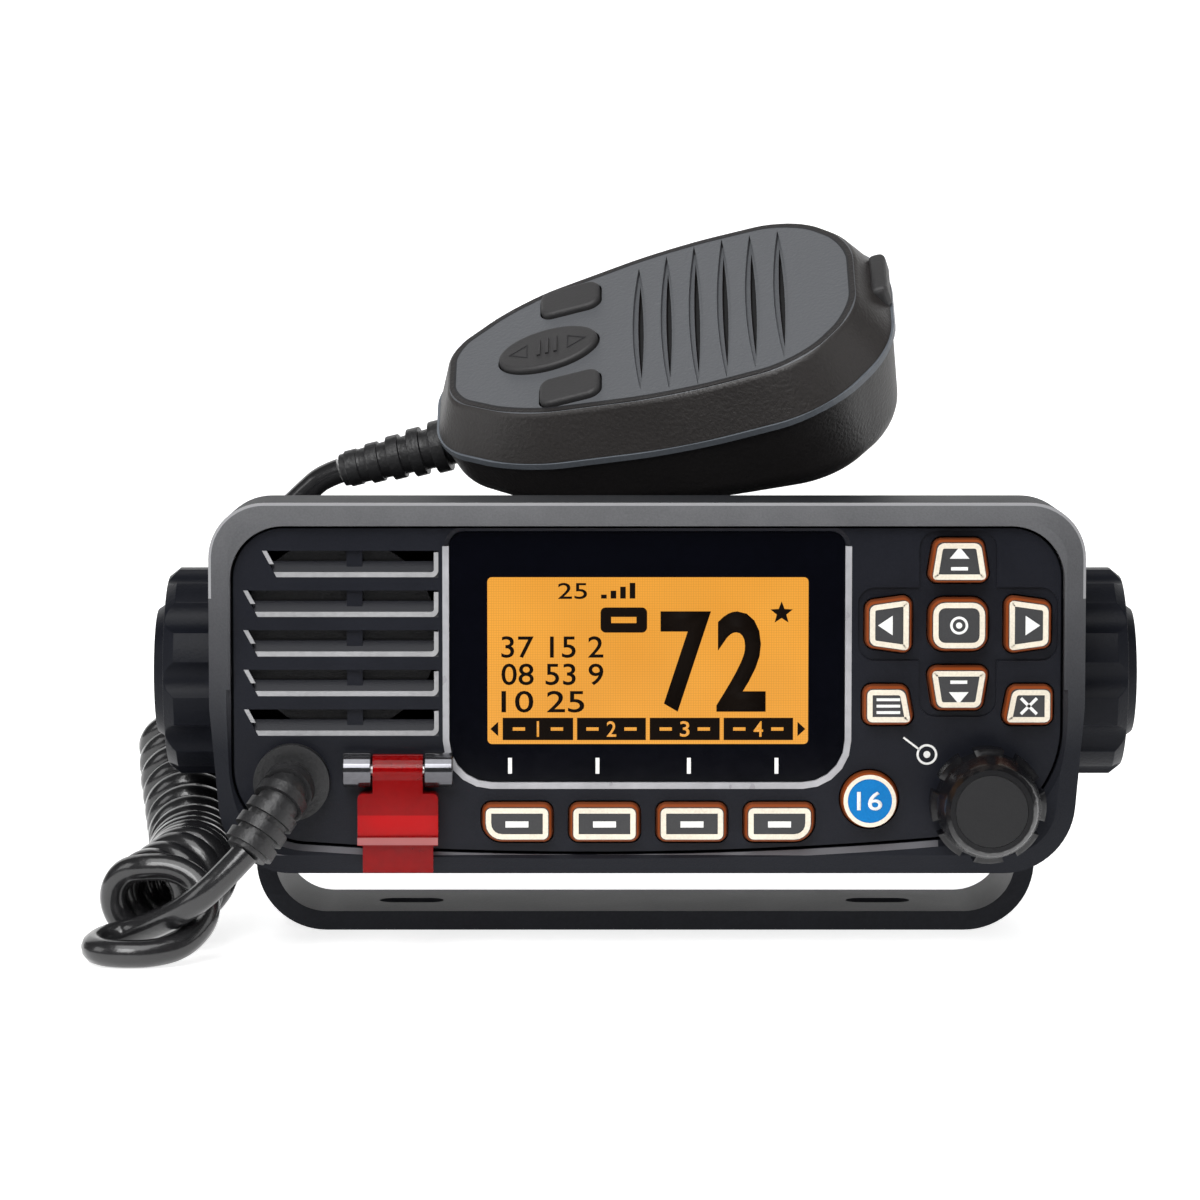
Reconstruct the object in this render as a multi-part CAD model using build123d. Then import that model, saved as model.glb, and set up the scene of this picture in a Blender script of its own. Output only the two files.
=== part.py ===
from build123d import *
import math
import os

# A fixed-mount VHF marine radio on its U bracket, with its fist microphone and curly cord.
# Millimetres. X runs to the right, Y to the back and Z up. The origin is the middle of the
# bracket's underside, and the bracket's tilt axis is the line Y = 0, Z = TILT_HEIGHT.

# Clearances
GAP = 0.3                       # round what moves
RUN = 0.05                      # radial, in a running fit
SEAT_GAP = 0.2                  # behind the plate, in front of what the board carries
PAST = 1.0                      # how far a cutter runs past the face that it opens

# Front panel: a deep frame round a smooth plate
PANEL_WIDTH = 156.5
PANEL_HEIGHT = 66.5
PANEL_DEPTH = 24.5
PANEL_BOTTOM = 14.6
PANEL_FACE = -45.0
PANEL_WAIST_RISE = 29.9         # height over which the sides draw in
PANEL_TAPER = 2.6
PANEL_TOP_CORNER = 10.0
PANEL_LOW_CORNER = 13.0
PANEL_WALL = 2.5
BEVEL_INSET = 3.6
BEVEL_DEPTH = 2.5
LEDGE_WIDTH = 1.5
LEDGE_DEPTH = 3.0
FRAME_BORDER = 4.0
OPENING_CORNER = 9.5
FRAME_LIP = 1.2
LIP_THICKNESS = 1.5
SILL = 1.1
PLATE_RECESS = 1.8
PLATE_THICKNESS = 2.6
PLATE_GAP = 0.5
OPENING_RISE_LEFT = 6.4         # lower edge of the opening above the panel's bottom
OPENING_RISE_MIDDLE = 3.6
OPENING_RISE_RIGHT = 8.4
PLATE_LEFT_CORNER = 14.0
PLATE_RIGHT_CORNER = 20.0

# Display
WINDOW_WIDTH = 70.7
WINDOW_TO_FRAME = 1.1
WINDOW_TO_SOFTKEYS = 3.55
WINDOW_TOP_CORNER = 2.7
WINDOW_LOW_CORNER = 7.5
WINDOW_CHAMFER = 0.9
LENS_GAP = 0.1
LENS_SET_BACK = 0.8
LENS_THICKNESS = 1.6
MODULE_WIDTH = 64.0
MODULE_HEIGHT = 37.0
MODULE_INSET = 4.6              # of its top, below the window's
MODULE_CORNER = 1.0
MODULE_THICKNESS = 2.6
LEG_RADIUS = 1.5
LEG_INSET = 3.0

# Keys: height above the plate, travel and side slope
KEY_RISE = 3.0
KEY_SHOULDER = 0.4
KEY_SLOPE = 0.6
KEY_TRAVEL = 0.8
KEY_REST = 0.1
KEY_FLANGE = 0.8
KEY_CORNER = 1.7
SOFTKEY_WIDTH = 12.6
SOFTKEY_HEIGHT = 7.1
SOFTKEY_PITCH = 15.6
SOFTKEY_SHIFT = 0.2             # of the row, to the right of the middle
SOFTKEY_RISE = 9.4
SOFTKEY_CUT = 3.6
ENTER_SIZE = (10.7, 9.6)
ENTER_CORNER = 2.9
UP_SIZE = (11.4, 8.0)
UP_NARROWING = 1.3
UP_OFFSET = 11.4
SIDE_SIZE = (8.4, 10.7)
SIDE_NARROWING = 1.2
SIDE_OFFSET = 12.4
MENU_SIZE = (9.4, 7.3)
MENU_OFFSET = (12.3, 14.4)
MENU_SLANT = 1.4
NAV_INSET = (22.85, 21.6)       # of the enter key's middle, from the panel's side and top
CHANNEL_RADIUS = 5.15
CHANNEL_INSET = 38.55
CHANNEL_RISE = 13.5
NAV_RECESS = 0.5
NAV_MARGIN = 1.2
NAV_CORNER = 3.0
MAT_THICKNESS = 1.0
MAT_MARGIN = 1.0
SWITCH_RADIUS = 2.2
SWITCH_THICKNESS = 0.6
BOARD_THICKNESS = 1.6
BOARD_CORNER = 2.0
LOGIC_SIZE = (108.0, 56.0)
LOGIC_INSET = (5.25, 5.1)       # from the panel's side and top
LOGIC_TAIL_SIZE = (22.0, 12.0)
LOGIC_TAIL_SHIFT = (0.35, 1.0)  # from the distress button's middle

# Speaker and its slots
SPEAKER_RADIUS = 17.5
SPEAKER_INSET = (23.35, 23.8)   # of its middle, from the panel's side and top
MEMBRANE_THICKNESS = 0.4
RIM_THICKNESS = 1.6
RIM_WIDTH = 1.5
DISH_DEPTH = 7.4
DISH_RADIUS = 9.5
DISH_WALL = 1.0
CONE_RADIUS = 14.3
CONE_DEPTH = 6.0
CONE_WALL = 0.5
COIL_RADIUS = 3.4
COIL_LENGTH = 2.0
COIL_CLEARANCE = 0.6
MAGNET_RADIUS = 9.0
MAGNET_THICKNESS = 5.0
SLOT_COUNT = 5
SLOT_PITCH = 7.1
SLOT_TOP_RISE = 15.3            # of the first slot, above the speaker's middle
SLOT_OPENING = 2.0
SLOT_HEIGHT = 4.8
SLOT_REACH = (17.1, 17.7)       # to the left and right of the speaker's middle
SLOT_SLANT = 2.6
SLOT_SILL = 1.8
FIRST_SLOT_INSET = 3.4
SLOT_POST_WIDTH = 2.8
SLOT_POST_SHIFT = 2.7
SLOT_POST_RECESS = 1.2

# Volume knob
VOLUME_INSET = 17.8
VOLUME_RISE = 13.2
VOLUME_RADIUS = 10.25
VOLUME_FRONT = -59.0
VOLUME_CLEAR = 1.0
VOLUME_NOTCHES = 8
NOTCH_DEPTH = 1.1
NOTCH_WIDTH = 2.6
NOTCH_TURN = 22.5
SKIRT_HEIGHT = 5.5
SKIRT_CHAMFER = 1.0
RIM_HEIGHT = 1.8
RIM_BEVEL = 1.0
VOLUME_PUSH = 0.6
SHAFT_RADIUS = 2.0
SHAFT_SET_BACK = 4.0
SLEEVE_RADIUS = 3.2
BUSH_WALL = 1.2
BUSH_RISE = 0.9
ENCODER_SIZE = 12.0
ENCODER_CORNER = 0.8
ENCODER_FLOOR = 0.4
CAP_RADIUS = 6.4
CAP_THICKNESS = 1.0
CAP_RISE = 0.1
CAP_RIM = 1.4

# Flip cover over the distress button
COVER_LEFT = -51.5
COVER_WIDTH = 14.3
COVER_RISE = 5.7
COVER_HEIGHT = 9.4
COVER_FRONT = -48.6
COVER_WALL = 1.2
COVER_CLEAR = 0.8
COVER_CORNER = 1.0
COVER_LIP = 4.8
LIP_INSET = 0.9
LIP_SET_BACK = 0.4
LIP_CLEAR = 0.5
RIDGE_HEIGHT = 1.6
RIDGE_RISE = 0.8
RIDGE_PLACE = 0.2
HINGE_RISE = 4.0                # of the hinge, above the cover's hood
HINGE_RADIUS = 3.1
HINGE_FOOT = 2.6
KNUCKLE_WIDTH = 8.9
KNUCKLE_RADIUS = 2.8
STRAP_OVERLAP = 0.5
PIN_RADIUS = 1.0
PIN_INSET = 0.2
BOSS_WIDTH = 5.0
BUTTON_MARGIN = (2.0, 1.9)
BUTTON_CORNER = 1.5
BUTTON_CLEAR = 1.6

# Chassis
CHASSIS_WIDTH = 133.0
CHASSIS_HEIGHT = 56.5
CHASSIS_TO_SCREWS = 0.7
CHASSIS_RISE = 4.9              # of its bottom, above the panel's
CHASSIS_BACK = 65.0
CHASSIS_WALL = 2.5
CHASSIS_CORNER = 4.0
CHASSIS_INNER_CORNER = 2.0
FIN_DEPTH = 8.0
FIN_THICKNESS = 2.2
FIN_PITCH = 7.4
FIN_ROOT = 0.5
FIN_MARGIN = 3.0
FLANGE_THICKNESS = 3.0
GASKET_THICKNESS = 0.8
SCREW_RISE = 10.4
SCREW_DROP = 6.6
SCREW_RADIUS = 1.5
SCREW_LENGTH = 9.0
SCREW_HOLE_DEPTH = 12.0
SCREW_CLEARANCE = 0.2
SCREW_SOCKET = 0.8
SCREW_SOCKET_FLOOR = 0.6
HEAD_RADIUS = 2.4
HEAD_HEIGHT = 1.7
BOSS_RADIUS = 3.0
MAIN_BOARD_RISE = 10.5
MAIN_BOARD_FRONT = -10.0
MAIN_BOARD_MARGIN = (4.0, 2.5)  # to the side walls and to the back wall
SHIELD_SIZE = (52.0, 30.0, 5.4)
SHIELD_INSET = (30.0, 14.0)     # from the board's left and front edges
POWER_BLOCK_SIZE = (22.0, 22.0, 10.4)
POWER_BLOCK_INSET = (8.0, 4.0)  # from the board's right and back edges
STANDOFF_INSET = (8.0, 6.0)
STANDOFF_RADIUS = 3.0
SOCKET_X = -43.0
SOCKET_RISE = 28.0
SOCKET_RADIUS = 7.9
SOCKET_LENGTH = 12.0
SOCKET_WALL = 2.1
SOCKET_FLOOR = 3.0
SOCKET_FLANGE = 25.4
SOCKET_FLANGE_THICKNESS = 2.5
SOCKET_FLANGE_CORNER = 2.0
SOCKET_NECK = 6.9
SOCKET_NECK_LENGTH = 6.0
INSULATOR_RADIUS = 3.6
INSULATOR_SET_BACK = 2.0
CONTACT_RADIUS = 2.0
GLAND_X = 43.0
GLAND_RISE = 16.5
GLAND_RADIUS = 6.5
GLAND_NECK = 5.0
GLAND_BORE = 3.0
GLAND_LENGTH = 9.0
PAD_MARGIN = 2.8

# Bracket and its two knobs
TILT_HEIGHT = 47.0
BRACKET_DEPTH = 28.0
BRACKET_THICKNESS = 3.5
BRACKET_CORNER = 13.0
ARM_START = 6.5
ARM_ROUND = 11.0
BRACKET_SLOT_SPACING = 87.6
BRACKET_SLOT_LENGTH = 12.0
BRACKET_SLOT_RADIUS = 2.75
BOLT_RADIUS = 2.5
BOLT_INSET = 1.0
BOLT_BURIED = 4.0
INSERT_RADIUS = 4.0
INSERT_LENGTH = 8.0
INSERT_WALL = 2.0
FRICTION_PAD_RADIUS = 9.0
FRICTION_PAD_THICKNESS = 1.7
FRICTION_PAD_CLEARANCE = 0.5
KNOB_RADIUS = 19.3
KNOB_LENGTH = 18.7
KNOB_FLUTES = 10
KNOB_FLUTE_DEPTH = 1.5
KNOB_FLUTE_RADIUS = 5.0
KNOB_BEVEL = 1.6
KNOB_BEVEL_LENGTH = 2.0
KNOB_COLLAR_RADIUS = 12.0
KNOB_COLLAR_LENGTH = 2.0
KNOB_CAP_RADIUS = 13.0
KNOB_CAP_BEVEL = 1.5
KNOB_CAP_RISE = 2.2

# Microphone, drawn lying flat in its own frame: long axis X from the cord end, face up
MIC_PLACE = (-38.4, 38.8)
MIC_RISE = 19.5                 # of its own origin, above the panel's top
MIC_TURN = -9.1
MIC_CLIMB = 14.1
MIC_ROLL = 33.4
MIC_START = -4.0
MIC_END = 87.0
MIC_END_HALF_WIDTH = 11.0
MIC_SHOULDER = (13.0, 24.1)
MIC_BROAD = 45.0
MIC_HALF_WIDTH = 30.5
MIC_CROWN = (73.0, 30.0)
MIC_TIP_HALF_WIDTH = 14.0
MIC_CORNERS = (14.0, 38.0, 90.0, 22.0, 22.0)
MIC_SEAM = -9.0
MIC_SEAM_GAP = 0.8
MIC_SEAM_INSET = 0.5
MIC_SEAM_WIDTH = 1.2
MIC_FACE_INSET = 4.6
MIC_INNER_INSET = 3.6
MIC_FACE_ROUND = 1.6
MIC_BACK_START = -21.0
MIC_BACK_END = -32.0
MIC_FLANK_SLOPE = 11.0
MIC_BACK_ROUND = 8.0
MIC_WALL = 2.2
MIC_SLOT_FIRST = 39.3
MIC_SLOT_PITCH = 5.65
MIC_SLOT_HALF_LENGTHS = (21.0, 23.0, 24.0, 24.0, 23.0, 22.0)
MIC_SLOT_WIDTH = 2.8
MIC_SLOT_DEPTH = 1.0
MIC_SLIT_WIDTH = 1.1
MIC_SLIT_INSET = 5.0
MIC_KEY_SIZE = (12.0, 8.4)
MIC_KEY_PLACE = (25.4, 15.2)
MIC_KEY_CORNER = 2.4
MIC_KEY_RISE = 1.2
MIC_KEY_ROUND = 0.8
MIC_KEY_FLANGE = 0.5
MIC_KEY_FLANGE_THICKNESS = 1.0
MIC_KEY_STEM = 1.5
MIC_ROCKER_PLACE = (21.0, -0.3)
MIC_ROCKER_SIZE = (20.0, 13.0)
MIC_ROCKER_RIBS = (-1.7, 0.0, 1.7)
MIC_ROCKER_RIB = (0.7, 5.0, 0.8)
MIC_ROCKER_FOOT = (5.0, 8.0, 2.0)
MIC_ROCKER_POST = (3.0, 6.0)
MIC_BOARD_START = 8.0
MIC_BOARD_END = 80.0
MIC_BOARD_HALF_WIDTH = 25.4
CAPSULE_RADIUS = 5.0
CAPSULE_DEPTH = 1.0
MIC_SCREW_PLACES = ((5.5, 0.0), (71.5, 13.0), (71.5, -13.0))
MIC_SCREW_RADIUS = 1.2
MIC_SCREW_HEAD = 2.2
MIC_SCREW_HEAD_HEIGHT = 1.4
MIC_SCREW_SINK = 1.7
MIC_SCREW_REACH = 4.0
MIC_BOSS_RADIUS = 2.6
PTT_START = 38.0
PTT_END = 76.0
PTT_RISE = 2.4
PTT_DEPTH = 5.8
PTT_HEIGHT = 9.0
PTT_DROP = 1.5
PTT_CORNER = 3.0
PTT_ROUND = 1.2
PTT_TRAVEL = 1.0
PTT_RECESS_DEPTH = 12.0
PTT_SWITCH = (8.0, 4.0, 4.0)
HANGER_PLACE = 52.0
HANGER_RADIUS = 5.0
HANGER_NECK = 3.2
HANGER_LENGTH = 8.0
HANGER_SEATED = 2.0
HANGER_HEAD = 2.0

# Cord: its boots, wire and coil sizes, and the hand-laid route
WIRE = 5.0
COIL = 20.0
CORD_EASE = 0.45                # share of the shorter run that an arc takes
BOOT_RADIUS = 4.7
BOOT_CORE = 3.8
BOOT_DOME = 6.8
BOOT_BASE = 3.0
BOOT_NECK = 3.5
BOOT_NECK_PAST = 1.5
BOOT_RINGS = 5
BOOT_RING_HALF = 1.0
BOOT_RING_SHARES = (0.36, 0.92)
MIC_BOOT_DEPTH = -15.5
MIC_BOOT_LENGTH = 22.0
MIC_BOOT_RADIUS = 5.2
MIC_BOOT_CORE = 4.1
MIC_BOOT_TIP = 3.2
MIC_BOOT_PLUG = 6.0
MIC_BOOT_COLLAR = (0.4, 3.0)
MIC_BOOT_RINGS = 5
MIC_BOOT_RING_HALF = 1.2
MIC_BOOT_RING_DROP = 0.4
MIC_BOOT_RING_SHIFT = 0.45      # share of a pitch by which each ring stands further out
BOOT_ROUTE = [(-63.4, -43.2, 31.3), (-63.4, -53.4, 31.3), (-70.7, -58.0, 20.4)]
PANEL_LEAD = [(-70.7, -58.0, 20.4), (-77.0, -60.0, 13.6), (-87.5, -57.0, 7.3), (-96.5, -44.0, 4.3)]
COIL_ROUTE = [
    (-91.0, -46.0, 10.3), (-89.0, -30.0, 10.3), (-85.5, -12.0, 10.4),
    (-84.5, 8.0, 12.6), (-88.0, 25.0, 21.0), (-90.0, 41.0, 29.5),
]
MIC_LEAD = [
    (-90.0, 41.0, 29.5), (-91.8, 47.0, 40.0), (-92.0, 50.5, 52.0), (-89.5, 52.5, 64.0),
    (-82.0, 53.3, 74.0), (-71.5, 52.7, 80.0), (-59.6, 50.83, 81.6),
]

PANEL_SIDE = PANEL_WIDTH / 2
PANEL_TOP = PANEL_BOTTOM + PANEL_HEIGHT
PANEL_MIDDLE = PANEL_BOTTOM + PANEL_HEIGHT / 2
PANEL_WAIST = PANEL_BOTTOM + PANEL_WAIST_RISE
NAV_MIDDLE = (PANEL_SIDE - NAV_INSET[0], PANEL_TOP - NAV_INSET[1])
CHANNEL_KEY = (PANEL_SIDE - CHANNEL_INSET, PANEL_BOTTOM + CHANNEL_RISE)
VOLUME_MIDDLE = (PANEL_SIDE - VOLUME_INSET, PANEL_BOTTOM + VOLUME_RISE)
SOFTKEY_MIDDLE = (SOFTKEY_SHIFT, PANEL_BOTTOM + SOFTKEY_RISE)
WINDOW_TOP = PANEL_TOP - FRAME_BORDER - WINDOW_TO_FRAME
WINDOW_BOTTOM = SOFTKEY_MIDDLE[1] + SOFTKEY_HEIGHT / 2 + WINDOW_TO_SOFTKEYS
MODULE_MIDDLE = WINDOW_TOP - MODULE_INSET - MODULE_HEIGHT / 2
LOGIC_MIDDLE = (PANEL_SIDE - LOGIC_INSET[0] - LOGIC_SIZE[0] / 2,
                PANEL_TOP - LOGIC_INSET[1] - LOGIC_SIZE[1] / 2)
SPEAKER_MIDDLE = (SPEAKER_INSET[0] - PANEL_SIDE, PANEL_TOP - SPEAKER_INSET[1])
SLOT_TOP = SPEAKER_MIDDLE[1] + SLOT_TOP_RISE
SLOT_LEFT = SPEAKER_MIDDLE[0] - SLOT_REACH[0]
SLOT_RIGHT = SPEAKER_MIDDLE[0] + SLOT_REACH[1]
COVER_BOTTOM = PANEL_BOTTOM + COVER_RISE
COVER_TOP = COVER_BOTTOM + COVER_HEIGHT
HINGE_HEIGHT = COVER_TOP + HINGE_RISE
PANEL_EXIT = (BOOT_ROUTE[0][0], BOOT_ROUTE[0][2])
PANEL_BACK = PANEL_FACE + PANEL_DEPTH
LEDGE = PANEL_BACK - LEDGE_DEPTH
PLATE_FRONT = PANEL_FACE + PLATE_RECESS
PLATE_BACK = PLATE_FRONT + PLATE_THICKNESS
LIP_BACK = PLATE_BACK + LIP_THICKNESS
KEY_FRONT = PLATE_FRONT - KEY_RISE
FLANGE_START = PLATE_BACK + GAP
FLANGE_BACK = FLANGE_START + KEY_FLANGE
MAT_FRONT = FLANGE_BACK + KEY_TRAVEL + KEY_REST
MAT_BACK = MAT_FRONT + MAT_THICKNESS
BOARD_FRONT = MAT_BACK + SWITCH_THICKNESS
BOARD_BACK = BOARD_FRONT + BOARD_THICKNESS
RIM_FRONT = PLATE_BACK + MEMBRANE_THICKNESS
RIM_BACK = RIM_FRONT + RIM_THICKNESS
DISH_BACK = RIM_BACK + DISH_DEPTH
BUSH_FRONT = PLATE_FRONT - BUSH_RISE
PLUNGER_BACK = BOARD_FRONT - ENCODER_FLOOR - VOLUME_PUSH - SEAT_GAP
HINGE_DEPTH = PLATE_FRONT - HINGE_RADIUS
CHASSIS_BOTTOM = PANEL_BOTTOM + CHASSIS_RISE
CHASSIS_TOP = CHASSIS_BOTTOM + CHASSIS_HEIGHT
CHASSIS_MIDDLE = CHASSIS_BOTTOM + CHASSIS_HEIGHT / 2
CHASSIS_SIDE = CHASSIS_WIDTH / 2
SCREW_SIDE = CHASSIS_SIDE + CHASSIS_TO_SCREWS + SCREW_CLEARANCE + HEAD_RADIUS
FLANGE_FRONT = LEDGE + GASKET_THICKNESS
CHASSIS_FLANGE_BACK = FLANGE_FRONT + FLANGE_THICKNESS
FIN_FRONT = CHASSIS_BACK - FIN_DEPTH
MAIN_BOARD_LOW = CHASSIS_BOTTOM + MAIN_BOARD_RISE
MAIN_BOARD_SIDE = CHASSIS_SIDE - CHASSIS_WALL - MAIN_BOARD_MARGIN[0]
MAIN_BOARD_BACK = FIN_FRONT - CHASSIS_WALL - MAIN_BOARD_MARGIN[1]
SOCKET_PLACE = (SOCKET_X, CHASSIS_BOTTOM + SOCKET_RISE)
GLAND_PLACE = (GLAND_X, CHASSIS_BOTTOM + GLAND_RISE)
BRACKET_WIDTH = CHASSIS_WIDTH + 2 * (FRICTION_PAD_THICKNESS + GAP + BRACKET_THICKNESS)
ARM_OUTER = BRACKET_WIDTH / 2
ARM_INNER = ARM_OUTER - BRACKET_THICKNESS
KNOB_START = ARM_OUTER + GAP
KNOB_OUTER = KNOB_START + KNOB_LENGTH
KNOB_END = KNOB_OUTER - KNOB_CAP_RISE
GRIP_START = KNOB_START + KNOB_COLLAR_LENGTH
MIC_ORIGIN = (*MIC_PLACE, PANEL_TOP + MIC_RISE)
MIC_FRONT_LOW = MIC_SEAM + MIC_SEAM_GAP / 2
MIC_REAR_TOP = MIC_SEAM - MIC_SEAM_GAP / 2
MIC_BOARD_FACE = MIC_SEAM - MIC_WALL
MIC_BOARD_BACK = MIC_BOARD_FACE - BOARD_THICKNESS
MIC_KEY_LOW = -MIC_WALL - GAP
MIC_SCREW_TIP = MIC_SEAM + MIC_SCREW_REACH
PTT_MIDDLE = ((PTT_START + PTT_END) / 2, MIC_SEAM - PTT_DROP - PTT_HEIGHT / 2)
PTT_FACE = MIC_HALF_WIDTH + PTT_RISE


# ------------------------------------------------------------------ drawing helpers

def prism(outline, front, back):
    """Solid between two depths, from an outline drawn in X and Z."""
    return extrude(Plane.XZ.offset(-back) * outline, amount=back - front)


def funnel(front_outline, front, back_outline, back):
    """Solid between two depths with a different outline at each."""
    return loft([Plane.XZ.offset(-back) * back_outline, Plane.XZ.offset(-front) * front_outline],
                ruled=True)


def rod(place, radius, front, back):
    """Round bar along Y."""
    return prism(Pos(*place) * Circle(radius), front, back)


def cone(place, front_radius, front, back_radius, back):
    """Round frustum along Y."""
    middle = Pos(*place)
    return funnel(middle * Circle(front_radius), front, middle * Circle(back_radius), back)


def cross_rod(depth, height, radius, left, right):
    """Round bar along X."""
    return extrude(Plane.YZ.offset(left) * (Pos(depth, height) * Circle(radius)), amount=right - left)


def upright(place, radius, low, high):
    """Round bar along Z."""
    return extrude(Plane.XY.offset(low) * (Pos(*place) * Circle(radius)), amount=high - low)


def block(left, right, front, back, low, high):
    middle = Pos((left + right) / 2, (front + back) / 2, (low + high) / 2)
    return middle * Box(right - left, back - front, high - low)


def rounded(points, radii):
    """Flat outline through corner points, each with its own corner radius."""
    face = make_face(Polyline(*points, close=True))
    return round_corners(face, points, radii)


def round_corners(face, points, radii):
    for point, radius in zip(points, radii):
        if radius > 0:
            corner = face.vertices().sort_by_distance(Vector(point[0], point[1], 0))[0]
            face = fillet(corner, radius)
    return face


def pill(place, width, height, radius):
    return Pos(*place) * RectangleRounded(width, height, radius)


def mirror_x(shape):
    return mirror(shape, about=Plane.YZ)


def smooth_path(points):
    """Straight runs joined by tangent arcs, each arc as large as its two runs allow."""
    radii = []
    for before, corner, after in zip(points, points[1:], points[2:]):
        a = Vector(*corner) - Vector(*before)
        b = Vector(*after) - Vector(*corner)
        turn = math.radians(a.get_angle(b))
        radii.append(CORD_EASE * min(a.length, b.length) / math.tan(turn / 2))
    return FilletPolyline(*points, radius=radii), radii


def tube(points, diameter):
    """Round cord along a route, with its bend radii printed."""
    path, radii = smooth_path(points)
    start = Plane(origin=path @ 0, z_dir=path % 0)
    solid = sweep(start * Circle(diameter / 2), path=path)
    area = math.pi * diameter ** 2 / 4
    print("cord radii", [round(r, 1) for r in radii], "length", round(path.length, 1),
          "volume ratio", round(solid.volume / (area * path.length), 4))
    return solid


def save(name, shape):
    export_step(shape, f"parts/{name}.step")
    NODES.append(name)


NODES = []
os.makedirs("parts", exist_ok=True)


# ------------------------------------------------------------------ outlines

def panel_outline():
    foot = PANEL_SIDE - PANEL_TAPER
    points = [
        (-PANEL_SIDE, PANEL_TOP), (PANEL_SIDE, PANEL_TOP), (PANEL_SIDE, PANEL_WAIST),
        (foot, PANEL_BOTTOM), (-foot, PANEL_BOTTOM), (-PANEL_SIDE, PANEL_WAIST),
    ]
    radii = [PANEL_TOP_CORNER, PANEL_TOP_CORNER, 0, PANEL_LOW_CORNER, PANEL_LOW_CORNER, 0]
    return rounded(points, radii)


def frame_opening():
    """Opening of the frame: its lower edge is a shallow bow, deepest in the middle."""
    side = PANEL_SIDE - FRAME_BORDER
    top = PANEL_TOP - FRAME_BORDER
    left_top, right_top = (-side, top), (side, top)
    right_low = (side, PANEL_BOTTOM + OPENING_RISE_RIGHT)
    left_low = (-side, PANEL_BOTTOM + OPENING_RISE_LEFT)
    corners = [left_top, right_top, right_low, left_low]
    edges = [
        Line(left_low, left_top), Line(left_top, right_top), Line(right_top, right_low),
        ThreePointArc(right_low, (0, PANEL_BOTTOM + OPENING_RISE_MIDDLE), left_low),
    ]
    radii = [OPENING_CORNER, OPENING_CORNER, PLATE_RIGHT_CORNER, PLATE_LEFT_CORNER]
    return round_corners(make_face(edges), corners, radii)


def window_outline():
    side = WINDOW_WIDTH / 2
    points = [(-side, WINDOW_TOP), (side, WINDOW_TOP), (side, WINDOW_BOTTOM), (-side, WINDOW_BOTTOM)]
    radii = [WINDOW_TOP_CORNER, WINDOW_TOP_CORNER, WINDOW_LOW_CORNER, WINDOW_LOW_CORNER]
    return rounded(points, radii)


def key_outlines():
    """Name and outline of each key on the panel."""
    keys = {}
    width, height = SOFTKEY_WIDTH / 2, SOFTKEY_HEIGHT / 2
    for number in range(4):
        place = SOFTKEY_MIDDLE[0] + (number - 1.5) * SOFTKEY_PITCH
        cut_left = SOFTKEY_CUT if number == 0 else KEY_CORNER
        cut_right = SOFTKEY_CUT if number == 3 else KEY_CORNER
        points = [(-width, height), (width, height), (width, -height), (-width, -height)]
        shape = rounded(points, [KEY_CORNER, KEY_CORNER, cut_right, cut_left])
        keys[f"softkey_{number + 1}"] = Pos(place, SOFTKEY_MIDDLE[1]) * shape

    x, z = NAV_MIDDLE
    keys["key_enter"] = pill(NAV_MIDDLE, *ENTER_SIZE, ENTER_CORNER)
    wide, tall = UP_SIZE[0] / 2, UP_SIZE[1] / 2
    narrow = wide - UP_NARROWING
    up = rounded([(-narrow, tall), (narrow, tall), (wide, -tall), (-wide, -tall)], [KEY_CORNER] * 4)
    keys["key_up"] = Pos(x, z + UP_OFFSET) * up
    keys["key_down"] = Pos(x, z - UP_OFFSET) * mirror(up, about=Plane.XZ)
    wide, tall = SIDE_SIZE[0] / 2, SIDE_SIZE[1] / 2
    short = tall - SIDE_NARROWING
    side = rounded([(-wide, short), (wide, tall), (wide, -tall), (-wide, -short)], [KEY_CORNER] * 4)
    keys["key_left"] = Pos(x - SIDE_OFFSET, z) * side
    keys["key_right"] = Pos(x + SIDE_OFFSET, z) * mirror_x(side)
    wide, tall = MENU_SIZE[0] / 2, MENU_SIZE[1] / 2
    menu = rounded([(-wide, tall), (wide - MENU_SLANT, tall), (wide, -tall), (-wide, -tall)],
                   [KEY_CORNER] * 4)
    keys["key_menu"] = Pos(x - MENU_OFFSET[0], z - MENU_OFFSET[1]) * menu
    keys["key_clear"] = Pos(x + MENU_OFFSET[0], z - MENU_OFFSET[1]) * mirror_x(menu)
    keys["key_channel"] = Pos(*CHANNEL_KEY) * Circle(CHANNEL_RADIUS)
    return keys


def distress_outline():
    across, down = BUTTON_MARGIN
    return pill(DISTRESS, COVER_WIDTH - 2 * across, COVER_TOP - COVER_BOTTOM - 2 * down, BUTTON_CORNER)


PANEL = panel_outline()
OPENING = frame_opening()
WINDOW = window_outline()
KEYS = key_outlines()
INSIDE = offset(PANEL, -PANEL_WALL - LEDGE_WIDTH)
DISTRESS = (COVER_LEFT + COVER_WIDTH / 2, (COVER_TOP + COVER_BOTTOM) / 2)
DISTRESS_OUTLINE = distress_outline()


# ------------------------------------------------------------------ front panel

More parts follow.
